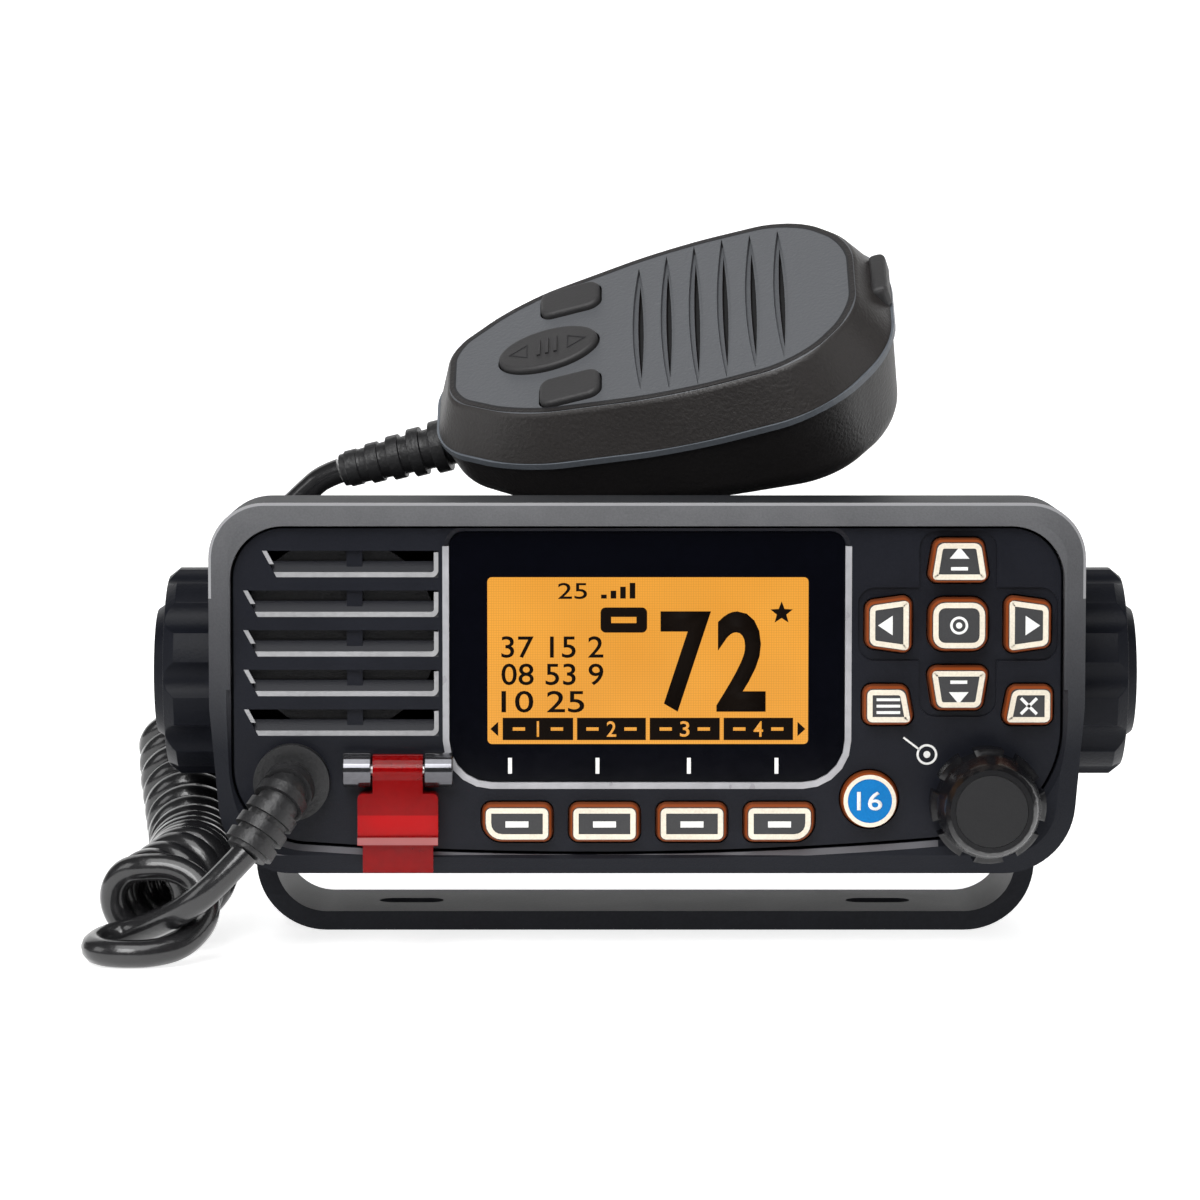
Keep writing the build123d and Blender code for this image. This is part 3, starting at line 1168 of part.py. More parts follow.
def mic_rear_shell():
    """Rear half: deep tray with a hanger hole, cord hole, talk bar opening and screw posts."""
    body = mic_back_body(MIC_OUTLINE, MIC_BACK_START, MIC_BACK_END, MIC_BACK_ROUND)
    shell = body - mic_back_body(MIC_CAVITY, MIC_BACK_START + MIC_WALL, MIC_BACK_END + MIC_WALL,
                                 MIC_BACK_ROUND - MIC_WALL)
    for place in MIC_SCREW_PLACES:
        back = back_height(place[0])
        shell += upright(place, MIC_BOSS_RADIUS, back + MIC_WALL / 2, MIC_BOARD_BACK) & body
        shell -= upright(place, MIC_SCREW_RADIUS + RUN, back, MIC_BOARD_BACK + PAST)
        shell -= upright(place, MIC_SCREW_HEAD + RUN, MIC_BACK_END - MIC_WALL, back + MIC_SCREW_SINK)
    shell -= upright((HANGER_PLACE, 0), HANGER_NECK, MIC_BACK_END - MIC_WALL, MIC_BOARD_BACK)
    shell -= along_boot(MIC_START - MIC_BOOT_PLUG, MIC_START + MIC_BOOT_PLUG, MIC_BOOT_CORE + RUN,
                        MIC_BOOT_CORE + RUN)
    opening = extrude(Plane.XZ.offset(-PTT_FACE - PAST) * ptt_outline(GAP), amount=PTT_RECESS_DEPTH)
    return shell - opening


def mic_seam_gasket():
    outer = offset(MIC_OUTLINE, -MIC_SEAM_INSET)
    inner = offset(MIC_OUTLINE, -MIC_SEAM_INSET - MIC_SEAM_WIDTH)
    return extrude(Plane.XY.offset(MIC_REAR_TOP) * (outer - inner), amount=MIC_SEAM_GAP)


def mic_board():
    """Board between the screw bosses, with the capsule, switches and the rocker's post."""
    slope = (MIC_REAR_TOP - MIC_BOARD_BACK) * math.tan(math.radians(MIC_FLANK_SLOPE))
    middle = (MIC_BOARD_START + MIC_BOARD_END) / 2
    limit = Pos(middle, 0) * Rectangle(MIC_BOARD_END - MIC_BOARD_START, 2 * MIC_BOARD_HALF_WIDTH)
    outline = offset(MIC_CAVITY, -slope - GAP) & limit
    board = extrude(Plane.XY.offset(MIC_BOARD_BACK) * outline, amount=BOARD_THICKNESS)
    for place in MIC_SCREW_PLACES:
        board -= upright(place, MIC_SCREW_RADIUS + GAP, MIC_BOARD_BACK - PAST, MIC_BOARD_FACE + PAST)
    capsule = (MIC_SLOT_FIRST + (len(MIC_SLOT_HALF_LENGTHS) - 1) / 2 * MIC_SLOT_PITCH, 0)
    board += upright(capsule, CAPSULE_RADIUS, MIC_BOARD_FACE, -MIC_WALL - CAPSULE_DEPTH)
    for side in (-1, 1):
        place = (MIC_KEY_PLACE[0], side * MIC_KEY_PLACE[1])
        board += upright(place, SWITCH_RADIUS, MIC_BOARD_FACE, MIC_BOARD_FACE + SWITCH_THICKNESS)
    post_top = MIC_KEY_LOW - MIC_ROCKER_FOOT[2] - GAP
    post = Plane.XY.offset(MIC_BOARD_FACE) * (Pos(*MIC_ROCKER_PLACE) * Rectangle(*MIC_ROCKER_POST))
    board += extrude(post, amount=post_top - MIC_BOARD_FACE)
    length, width, height = PTT_SWITCH
    switch_face = PTT_FACE - PTT_DEPTH - PTT_TRAVEL - KEY_REST
    return board + block(PTT_MIDDLE[0] - length / 2, PTT_MIDDLE[0] + length / 2, switch_face - width,
                         switch_face, MIC_BOARD_BACK - height, MIC_BOARD_BACK)


def mic_key(side):
    """Rubber key through the face, with a flange that keeps it in and a stem to its switch."""
    outline = mic_key_outline(side)
    cap = extrude(Plane.XY.offset(MIC_KEY_LOW) * outline, amount=MIC_KEY_RISE - MIC_KEY_LOW)
    cap = fillet(cap.faces().sort_by(Axis.Z)[-1].edges(), MIC_KEY_ROUND)
    flange_low = MIC_KEY_LOW - MIC_KEY_FLANGE_THICKNESS
    flange = Plane.XY.offset(flange_low) * offset(outline, MIC_KEY_FLANGE)
    cap += extrude(flange, amount=MIC_KEY_FLANGE_THICKNESS)
    switch_top = MIC_BOARD_FACE + SWITCH_THICKNESS
    stem_low = switch_top + KEY_TRAVEL + KEY_REST
    return cap + upright((MIC_KEY_PLACE[0], side * MIC_KEY_PLACE[1]), MIC_KEY_STEM, stem_low, flange_low)


def mic_rocker():
    """Oval rocker with ribs across its middle, on a foot that tips on the board's post."""
    place = Pos(*MIC_ROCKER_PLACE)
    rocker = extrude(Plane.XY.offset(MIC_KEY_LOW) * rocker_outline(0), amount=MIC_KEY_RISE - MIC_KEY_LOW)
    rocker = fillet(rocker.faces().sort_by(Axis.Z)[-1].edges(), MIC_KEY_ROUND)
    for step in MIC_ROCKER_RIBS:
        rocker += place * Pos(step, 0, MIC_KEY_RISE) * Box(*MIC_ROCKER_RIB)
    return rocker + place * Pos(0, 0, MIC_KEY_LOW - MIC_ROCKER_FOOT[2] / 2) * Box(*MIC_ROCKER_FOOT)


def ptt_outline(clearance):
    """Side view of the talk bar: X along the shell, Y up from the back."""
    return Pos(*PTT_MIDDLE) * RectangleRounded(PTT_END - PTT_START + 2 * clearance,
                                               PTT_HEIGHT + 2 * clearance, PTT_CORNER)


def ptt_button():
    """Long talk bar on the far flank."""
    bar = extrude(Plane.XZ.offset(-PTT_FACE) * ptt_outline(0), amount=PTT_DEPTH)
    return fillet(bar.faces().sort_by(Axis.Y)[-1].edges(), PTT_ROUND)


def hanger_button():
    """Steel stud pressed into the back, which hangs the microphone in its clip."""
    top = back_height(HANGER_PLACE) + HANGER_SEATED
    low = top - HANGER_LENGTH
    stud = upright((HANGER_PLACE, 0), HANGER_NECK, low, top)
    return stud + upright((HANGER_PLACE, 0), HANGER_RADIUS, low - HANGER_HEAD, low)


def mic_screws():
    """Three long screws that clamp the halves and the board, sunk in the back."""
    screws = Part()
    for place in MIC_SCREW_PLACES:
        seat = back_height(place[0]) + MIC_SCREW_SINK
        screws += upright(place, MIC_SCREW_RADIUS, seat, MIC_SCREW_TIP)
        screws += upright(place, MIC_SCREW_HEAD, seat - MIC_SCREW_HEAD_HEIGHT, seat)
    return screws


def along_boot(left, right, left_radius, right_radius):
    """Round frustum on the boot's axis."""
    place = Pos(0, 0, MIC_BOOT_DEPTH)
    return place * loft([Plane.YZ.offset(left) * Circle(left_radius),
                         Plane.YZ.offset(right) * Circle(right_radius)], ruled=True)


def mic_cord_boot():
    """Ribbed rubber boot plugged into the cord end, tapering along the cord."""
    start = MIC_START - GAP
    end = start - MIC_BOOT_LENGTH
    near, far = MIC_BOOT_COLLAR
    boot = along_boot(end, start, MIC_BOOT_TIP, MIC_BOOT_CORE)
    boot += along_boot(start, start + MIC_BOOT_PLUG, MIC_BOOT_CORE, MIC_BOOT_CORE)
    boot += along_boot(start - far, start - near, MIC_BOOT_RADIUS, MIC_BOOT_RADIUS)
    pitch = MIC_BOOT_LENGTH / MIC_BOOT_RINGS
    for index in range(1, MIC_BOOT_RINGS):
        radius = MIC_BOOT_RADIUS - MIC_BOOT_RING_DROP * index
        middle = start - (index + MIC_BOOT_RING_SHIFT) * pitch
        boot += along_boot(middle - MIC_BOOT_RING_HALF, middle + MIC_BOOT_RING_HALF, radius, radius)
    return boot


# ------------------------------------------------------------------ boot on the panel

def panel_cord_boot():
    """Rubber boot that leaves the panel forwards and bends down, with relief rings."""
    path, radii = smooth_path(BOOT_ROUTE)
    print("boot radii", [round(r, 1) for r in radii])
    start = Plane(origin=path @ 0, z_dir=path % 0)
    boot = sweep(start * Circle(BOOT_CORE), path=path)
    base_front = PLATE_FRONT - BOOT_BASE
    x, z = PANEL_EXIT
    boot += rod(PANEL_EXIT, BOOT_DOME, base_front, PLATE_FRONT)
    ahead = block(x - BOOT_DOME, x + BOOT_DOME, base_front - BOOT_DOME, base_front,
                  z - BOOT_DOME, z + BOOT_DOME)
    boot += Pos(x, base_front, z) * Sphere(BOOT_DOME) & ahead
    first, last = BOOT_RING_SHARES
    for index in range(BOOT_RINGS):
        share = first + index * (last - first) / (BOOT_RINGS - 1)
        plane = Plane(origin=path @ share, z_dir=path % share)
        boot += extrude(plane * Circle(BOOT_RADIUS), amount=BOOT_RING_HALF, both=True)
    return boot + rod(PANEL_EXIT, BOOT_NECK, PLATE_FRONT, PLATE_BACK + BOOT_NECK_PAST)


# ------------------------------------------------------------------ writing the pieces

save("front_panel", front_panel())
save("face_plate", face_plate())
for name, outline in KEYS.items():
    save(name, key(outline))
save("keypad_mat", keypad_mat())
save("key_switches", key_switches())
save("logic_board", logic_board())
save("display_window", display_window())
save("display_module", display_module())
save("speaker_membrane", speaker_membrane())
save("speaker_basket", speaker_basket())
save("speaker_cone", speaker_cone())
save("speaker_magnet", speaker_magnet())
save("encoder_body", encoder_body())
save("encoder_sleeve", encoder_sleeve())
save("encoder_shaft", encoder_shaft())
save("volume_knob", volume_knob())
save("knob_cap", knob_cap())
save("hinge_bosses", hinge_bosses())
save("cover_hinge_pin", cover_hinge_pin())
save("distress_cover", distress_cover())
save("distress_button", distress_button())
save("chassis", chassis())
save("panel_gasket", panel_gasket())
save("panel_screws", panel_screws())
save("main_board", main_board())
save("antenna_socket", antenna_socket())
save("power_gland", power_gland())
save("pivot_inserts", pivot_inserts())
save("friction_pads", friction_pads())
save("bracket", bracket())
for side, word in ((-1, "left"), (1, "right")):
    save(f"bracket_knob_{word}", on_tilt_axis(bracket_knob(), side))
    save(f"knob_bolt_{word}", on_tilt_axis(knob_bolt(), side))
save("mic_front_shell", on_mic(mic_front_shell()))
save("mic_rear_shell", on_mic(mic_rear_shell()))
save("mic_seam_gasket", on_mic(mic_seam_gasket()))
save("mic_board", on_mic(mic_board()))
save("mic_key_upper", on_mic(mic_key(1)))
save("mic_key_lower", on_mic(mic_key(-1)))
save("mic_rocker", on_mic(mic_rocker()))
save("ptt_button", on_mic(ptt_button()))
save("hanger_button", on_mic(hanger_button()))
save("mic_screws", on_mic(mic_screws()))
save("mic_cord_boot", on_mic(mic_cord_boot()))
save("panel_cord_boot", panel_cord_boot())
save("cord_lead_panel", tube(PANEL_LEAD, WIRE))
save("cord_coil", tube(COIL_ROUTE, COIL))
save("cord_lead_mic", tube(MIC_LEAD, WIRE))
print(len(NODES), "nodes")
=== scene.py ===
import math

import bmesh
import bpy
from mathutils import Matrix, Vector


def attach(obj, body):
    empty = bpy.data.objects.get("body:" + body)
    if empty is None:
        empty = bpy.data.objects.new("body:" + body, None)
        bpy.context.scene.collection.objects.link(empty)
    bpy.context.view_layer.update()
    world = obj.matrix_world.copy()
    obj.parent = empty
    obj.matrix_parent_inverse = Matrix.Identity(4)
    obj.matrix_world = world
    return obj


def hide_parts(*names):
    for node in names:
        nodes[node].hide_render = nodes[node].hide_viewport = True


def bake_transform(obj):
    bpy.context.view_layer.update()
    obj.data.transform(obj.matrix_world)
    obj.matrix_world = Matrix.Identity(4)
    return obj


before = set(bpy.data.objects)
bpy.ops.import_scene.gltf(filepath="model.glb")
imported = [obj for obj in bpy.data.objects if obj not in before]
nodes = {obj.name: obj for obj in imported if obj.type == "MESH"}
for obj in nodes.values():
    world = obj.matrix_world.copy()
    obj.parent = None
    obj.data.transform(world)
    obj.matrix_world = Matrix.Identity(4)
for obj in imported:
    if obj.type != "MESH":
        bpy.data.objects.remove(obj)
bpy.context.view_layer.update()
scene = bpy.context.scene


# ---------------------------------------------------------------- camera
# The radio is seen from straight ahead and a little above, through a long lens from about
# ninety centimetres away, so that its sides hardly show.

camera_lens = bpy.data.cameras.new("camera")
camera_lens.lens = 143.9
camera_lens.sensor_width = 36.0
camera_lens.clip_start = 0.01
camera = bpy.data.objects.new("camera", camera_lens)
camera.location = (-0.0084, -0.895, 0.1351)
camera.rotation_euler = (math.radians(90 - 4.785), 0, 0)
scene.collection.objects.link(camera)
scene.camera = camera


# ---------------------------------------------------------------- curly cord
# A cable with a glossy black jacket, 5 mm thick, wound hot on a mandrel so that it keeps its
# turns. It is moulded into the boot on the panel at one end and into the microphone's at the
# other, and its turns lie beside the case.

WIRE = 5.0
TURNS = 16.75
FIRST_POINT = -0.25             # of a turn, which is the coil's top
POINTS_PER_TURN = 12
TURN_RADIUS = 6.6
PANEL_LEAD = [
    (-70.7, -58.0, 20.4), (-76.5, -59.8, 14.2), (-82.0, -57.3, 10.0), (-87.2, -51.5, 6.8),
    (-92.4, -47.7, 4.6), (-96.6, -49.3, 3.8), (-98.3, -53.5, 3.1), (-96.6, -57.7, 2.7),
    (-92.4, -59.4, 2.6), (-87.0, -58.6, 2.6), (-81.8, -55.6, 3.6), (-77.8, -51.2, 8.3),
    (-79.2, -47.8, 13.4), (-84.2, -46.4, 16.3),
]
COIL_AXIS = [
    (-90.0, -45.5, 9.6), (-87.5, -38.0, 10.2), (-83.5, -29.0, 12.2), (-84.0, -14.0, 11.6),
    (-84.5, 4.0, 12.5), (-87.0, 20.0, 18.5), (-89.5, 34.0, 25.5), (-90.0, 41.0, 29.5),
]
MIC_LEAD = [
    (-83.5, 38.6, 35.0), (-83.9, 39.6, 41.0), (-84.3, 43.0, 47.5), (-83.9, 47.5, 54.0),
    (-81.0, 50.8, 61.5), (-75.5, 52.2, 69.0), (-70.5, 52.2, 73.5), (-66.0, 51.8, 77.8),
    (-63.0, 51.3, 80.4), (-59.6, 50.83, 81.6),
]


def smooth_line(points, thickness=0.0):
    """Mesh of a smooth curve by points in millimetres: its own line, or a tube round it."""
    curve = bpy.data.curves.new("line", "CURVE")
    curve.dimensions = "3D"
    curve.resolution_u = 8
    curve.bevel_depth = thickness / 2000
    curve.bevel_resolution = 4
    curve.use_fill_caps = True
    spline = curve.splines.new("NURBS")
    spline.points.add(len(points) - 1)
    for point, (x, y, z) in zip(spline.points, points):
        point.co = (x / 1000, y / 1000, z / 1000, 1.0)
    spline.order_u = 3
    spline.use_endpoint_u = True
    holder = bpy.data.objects.new("line", curve)
    scene.collection.objects.link(holder)
    bpy.context.view_layer.update()
    mesh = bpy.data.meshes.new_from_object(holder)
    bpy.data.objects.remove(holder)
    return mesh


def coil_points():
    """Points of the turns, from the top of the coil's front end to the right of its back end."""
    line = [vertex.co * 1000 for vertex in smooth_line(COIL_AXIS).vertices]
    steps = [(b - a).length for a, b in zip(line, line[1:])]
    count = int(TURNS * POINTS_PER_TURN)
    points = []
    for index in range(count + 1):
        distance = sum(steps) * index / count
        at = 0
        while at < len(steps) - 1 and distance > steps[at]:
            distance -= steps[at]
            at += 1
        along = (line[at + 1] - line[at]).normalized()
        side = along.cross(Vector((0, 0, 1))).normalized()
        turn = 2 * math.pi * (index / POINTS_PER_TURN + FIRST_POINT)
        out = -math.cos(turn) * side - math.sin(turn) * side.cross(along)
        points.append(line[at] + along * distance + out * TURN_RADIUS)
    return points


class Socket:
    """A node's output. Sums with it add Math nodes, and node() adds a node of any other kind."""

    def __init__(self, tree, output=None):
        self.tree = tree
        self.output = output

    def node(self, kind, settings, sockets, output=0):
        added = self.tree.nodes.new("ShaderNode" + kind)
        for name, value in settings.items():
            if name == "stops":
                for element, (place, colour) in zip(added.color_ramp.elements, value):
                    element.position, element.color = place, colour
            else:
                setattr(added, name, value)
        for name, value in sockets.items():
            if isinstance(value, Socket):
                self.tree.links.new(value.output, added.inputs[name])
            else:
                added.inputs[name].default_value = value
        return Socket(self.tree, added.outputs[output])

    def maths(self, operation, *values):
        return self.node("Math", {"operation": operation}, dict(enumerate(values)))

    def __add__(self, other):
        return self.maths("ADD", self, other)

    def __sub__(self, other):
        return self.maths("SUBTRACT", self, other)

    def __rsub__(self, other):
        return self.maths("SUBTRACT", other, self)

    def __mul__(self, other):
        return self.maths("MULTIPLY", self, other)

    def __gt__(self, other):
        return self.maths("GREATER_THAN", self, other)

    def __lt__(self, other):
        return self.maths("LESS_THAN", self, other)

    __radd__ = __add__
    __rmul__ = __mul__

    def clamped(self):
        return self.node("Clamp", {}, {0: self})

    def tint(self, other, share):
        """This colour where share is 0 and the other where it is 1."""
        return self.node("Mix", {"data_type": "RGBA"}, {0: share, 6: self, 7: other}, 2)


def moulded(name, colour, roughness, grain=2400.0, relief=0.00004, zones=(), glow=None, **constants):
    """Finish of a moulded or coated surface: mottled colour, uneven gloss and a grain in relief.

    Each zone is a mask of the place in millimetres, with its own colour, roughness and metal.
    """
    made = bpy.data.materials.new(name)
    made.use_nodes = True
    shader = made.node_tree.nodes["Principled BSDF"]
    for socket, value in constants.items():
        shader.inputs[socket.replace("_", " ")].default_value = value
    start = Socket(made.node_tree)
    place = start.node("TexCoord", {}, {}, "Object")
    mottle = start.node("TexNoise", {}, {"Vector": place, "Scale": 90.0, "Detail": 5.0})
    fine = start.node("TexNoise", {}, {"Vector": place, "Scale": grain, "Detail": 2.0})
    light, dark = [c * 1.16 for c in colour] + [1.0], [c * 0.84 for c in colour] + [1.0]
    stops = {"stops": [(0.3, dark), (0.7, light)]}
    paint = start.node("ValToRGB", stops, {0: mottle * 0.55 + fine * 0.45})
    gloss = roughness - 0.05 + 0.06 * mottle + 0.06 * fine
    metal = constants.get("Metallic", 0.0)
    if zones or glow:
        axes = [start.node("SeparateXYZ", {}, {0: place}, axis) * 1000 for axis in range(3)]
    for mask, zone_colour, zone_roughness, zone_metal in zones:
        inside = mask(*axes)
        paint = paint.tint([*zone_colour, 1.0], inside)
        gloss = gloss + inside * (zone_roughness - roughness)
        metal = inside * (zone_metal - metal) + metal
    links = {"Base Color": paint, "Roughness": gloss}
    if isinstance(metal, Socket):
        links["Metallic"] = metal
    if glow:
        lit, lamp_colour, strength = glow
        shader.inputs["Emission Strength"].default_value = strength
        black = start.node("RGB", {}, {})
        black.output.default_value = (0, 0, 0, 1)
        links["Emission Color"] = black.tint([*lamp_colour, 1.0], lit(*axes))
    links["Normal"] = start.node("Bump", {}, {"Strength": 1.0, "Distance": relief, "Height": fine})
    for socket, value in links.items():
        made.node_tree.links.new(value.output, shader.inputs[socket])
    return made


cord_finish = moulded("cord jacket", (0.012, 0.012, 0.013), 0.24, 900.0, 0.00005, Coat_Weight=0.35)
cord_points = PANEL_LEAD + coil_points() + MIC_LEAD
cord_path = [vertex.co.copy() for vertex in smooth_line(cord_points).vertices]
cord_mesh = smooth_line(cord_points, WIRE)
cord_mesh.materials.clear()
cord_mesh.materials.append(cord_finish)
for face in cord_mesh.polygons:
    face.use_smooth = True
cord = bpy.data.objects.new("curly_cord", cord_mesh)
scene.collection.objects.link(cord)
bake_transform(cord)
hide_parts("cord_lead_panel", "cord_coil", "cord_lead_mic")


# ---------------------------------------------------------------- frame of the front panel
# A deep moulding of glass-filled plastic with a satin grey coat. A broad bevel runs round
# its front, and four screws from behind clamp it to the case's flange.


def dress(finish, *names):
    """Gives CAD pieces their finish."""
    for name in names:
        for place in nodes[name].material_slots:
            place.material = finish


def soften(width, *names):
    """Rounds the sharp edges of CAD pieces by a width in millimetres, as a mould does."""
    for name in names:
        weld = nodes[name].modifiers.new("weld", "WELD")
        weld.merge_threshold = 0.000002
        flat = nodes[name].modifiers.new("flat", "DECIMATE")
        flat.decimate_type = "DISSOLVE"
        flat.angle_limit = math.radians(0.5)
        edge = nodes[name].modifiers.new("edge", "BEVEL")
        edge.width = width / 1000
        edge.segments = 2
        edge.limit_method = "ANGLE"
        edge.angle_limit = math.radians(28)
        edge.harden_normals = True
        even = nodes[name].modifiers.new("even", "WEIGHTED_NORMAL")
        even.keep_sharp = True


SIDES_FROM = -42.35             # just behind the bevel's back edge
frame_finish = moulded(
    "satin grey frame", (0.116, 0.117, 0.123), 0.44, 2600.0, 0.00006, Specular_IOR_Level=0.06,
    zones=[
        # painted shade: the front is darker towards the bottom, where less light falls on it
        (lambda x, y, z: ((80 - z) * 0.023).clamped() * 0.94, (0.0065, 0.0075, 0.0115), 0.42, 0.0),
        # painted shade: the top, sides and back are painted near black, as faces turned from the front light
        (lambda x, y, z: y > SIDES_FROM, (0.006, 0.007, 0.010), 0.50, 0.0),
        # painted highlight: a bright line on the bevel's back edge, on the upper part of the frame, where it
        # catches the light
        (lambda x, y, z: (y > -42.85) * (y < SIDES_FROM) * (z > 64), (0.30, 0.30, 0.31), 0.28, 0.0),
        # painted highlight: a light line on the chamfer along the lower edge of the plate's opening
        (lambda x, y, z: (y > -44.95) * (y < -43.6) * (z > 18.15) * (z < 24) * (x > -73) * (x < 52),
         (0.12, 0.12, 0.13), 0.30, 0.0),
    ],
)
dress(frame_finish, "front_panel")
soften(0.35, "front_panel")


# ---------------------------------------------------------------- face plate
# A smooth navy-black plate snapped into the frame. Painted highlights, thin pale strips at the
# edges where light falls, run along the low edge of each of its five louvres and round the window on three
# sides.

PLATE_FACE = -43.2
plate_finish = moulded("navy black plate", (0.0075, 0.0084, 0.0130), 0.36, 3000.0, 0.00002,
                       Specular_IOR_Level=0.2)
# painted highlights: pale finishes for the lit edges of the louvres and of the window
louvre_highlight_finish = moulded("painted louvre highlight", (0.36, 0.36, 0.37), 0.32, 900.0, 0.000003, Metallic=0.15)
window_highlight_finish = moulded("painted window highlight", (0.40, 0.40, 0.42), 0.28, 500.0, 0.000002, Metallic=0.15)
dress(plate_finish, "face_plate")


def polygon(shape, corners, depth, reaches=()):
    """Adds a flat face at one depth, with its corners rounded over the given reaches."""
    points = [shape.verts.new((x, depth, z)) for x, z in corners]
    shape.faces.new(points)
    for point, reach in zip(points, reaches):
        bmesh.ops.bevel(shape, geom=[point], offset=reach, segments=5, profile=0.5, affect="VERTICES",
                        material=-1)


def thicken(shape, amount):
    """Gives flat faces a thickness towards the front."""
    grown = bmesh.ops.extrude_face_region(shape, geom=shape.faces[:])["geom"]
    moved = [part for part in grown if isinstance(part, bmesh.types.BMVert)]
    bmesh.ops.translate(shape, vec=(0, -amount, 0), verts=moved)


def band(shape, inset, width):
    """Turns a shape's largest face into a band of a width, drawn in from the face's edge."""
    face = max(shape.faces, key=lambda item: item.calc_area())
    outside = bmesh.ops.inset_individual(shape, faces=[face], thickness=inset)["faces"]
    bmesh.ops.delete(shape, geom=outside, context="FACES")
    bmesh.ops.inset_individual(shape, faces=[face], thickness=width)
    bmesh.ops.delete(shape, geom=[face], context="FACES")


def piece(name, shape, finish, body):
    """Makes an object of a shape drawn in millimetres, and lets it ride on a body."""
    bmesh.ops.scale(shape, vec=(0.001, 0.001, 0.001), verts=shape.verts)
    bmesh.ops.recalc_face_normals(shape, faces=shape.faces)
    mesh = bpy.data.meshes.new(name)
    shape.to_mesh(mesh)
    shape.free()
    mesh.materials.append(finish)
    made = bpy.data.objects.new(name, mesh)
    scene.collection.objects.link(made)
    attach(made, body)


LOUVRES = 5
LOUVRE_PITCH = 7.1
LOUVRE_HEIGHT = 4.8
LOUVRE_TOP = 72.6
LOUVRE_LEFT = -72.0
FIRST_LOUVRE_LEFT = -68.6
LOUVRE_RIGHT = -37.2
LOUVRE_HIGHLIGHT_DEPTH = -42.55
# painted highlight on each louvre's low edge, right end and upper left corner, where these edges catch the
# light
shape = bmesh.new()
for number in range(LOUVRES):
    left = FIRST_LOUVRE_LEFT if number == 0 else LOUVRE_LEFT
    right, top = LOUVRE_RIGHT, LOUVRE_TOP - LOUVRE_PITCH * number
    low = top - LOUVRE_HEIGHT
    polygon(shape, [(left + 2.6, low), (right, low), (right, top - 0.3), (right - 0.8, top - 0.3),
                    (right - 0.8, low + 0.95), (left + 2.1, low + 0.95)], LOUVRE_HIGHLIGHT_DEPTH,
            [0, 1.3, 0, 0, 0.5, 0])
    polygon(shape, [(left, top), (left + 0.8, top), (left + 2.1, top - 2.4), (left + 1.3, top - 2.4)],
            LOUVRE_HIGHLIGHT_DEPTH)
thicken(shape, 0.6)
piece("louvre_highlights", shape, louvre_highlight_finish, "radio")

WINDOW_HIGHLIGHT_SIDE = 36.5
WINDOW_HIGHLIGHT_TOP = 77.2
WINDOW_HIGHLIGHT_LOW = 29.9
WINDOW_HIGHLIGHT_END = 73.4             # its two sides stop here, and its top is left out
# painted highlight on the window's left, low and right edges; its top edge, which faces down, has none
shape = bmesh.new()
polygon(shape, [(-WINDOW_HIGHLIGHT_SIDE, WINDOW_HIGHLIGHT_TOP), (WINDOW_HIGHLIGHT_SIDE, WINDOW_HIGHLIGHT_TOP),
                (WINDOW_HIGHLIGHT_SIDE, WINDOW_HIGHLIGHT_LOW), (-WINDOW_HIGHLIGHT_SIDE, WINDOW_HIGHLIGHT_LOW)], -42.45,
        [3.9, 3.9, 8.7, 8.7])
band(shape, 0.02, 1.15)
bmesh.ops.bisect_plane(shape, geom=shape.verts[:] + shape.edges[:] + shape.faces[:],
                       plane_co=(0, 0, WINDOW_HIGHLIGHT_END), plane_no=(0, 0, 1), clear_outer=True)
thicken(shape, 0.85)
piece("window_edge_highlight", shape, window_highlight_finish, "radio")


# ---------------------------------------------------------------- display
# A gloss black window over an amber-lit dot-matrix screen. The real screen lies behind the
# glass, and here it is a film on the glass's face. White ticks point at the four keys below.

WINDOW_FACE = -42.4
SCREEN = (-28.5, 28.8, 37.9, 67.8)
DOTS_PER_MM = 2.3
DOT_GAP = 0.17                  # of a dot's pitch


def panel(shape, left, right, low, high, depth, reach=0.0):
    """Adds a rectangle at one depth."""
    corners = [(left, high), (right, high), (right, low), (left, low)]
    polygon(shape, corners, depth, [reach] * 4 if reach else ())


def numerals(shape, text, left, right, low, high, depth, weight=0.0):
    """Adds a line of numerals that fills a rectangle at one depth."""
    line = bpy.data.curves.new("numerals", "FONT")
    line.body, line.size, line.offset, line.resolution_u = text, 1.0, weight, 4
    holder = bpy.data.objects.new("numerals", line)
    scene.collection.objects.link(holder)
    bpy.context.view_layer.update()
    flat = bpy.data.meshes.new_from_object(holder)
    bpy.data.objects.remove(holder)
    across = [vertex.co.x for vertex in flat.vertices]
    upwards = [vertex.co.y for vertex in flat.vertices]
    wide = (right - left) / (max(across) - min(across))
    tall = (high - low) / (max(upwards) - min(upwards))
    flat.transform(Matrix((
        (wide, 0, 0, left - wide * min(across)), (0, 0, 1, depth),
        (0, tall, 0, low - tall * min(upwards)), (0, 0, 0, 1))))
    shape.from_mesh(flat)
    bpy.data.meshes.remove(flat)


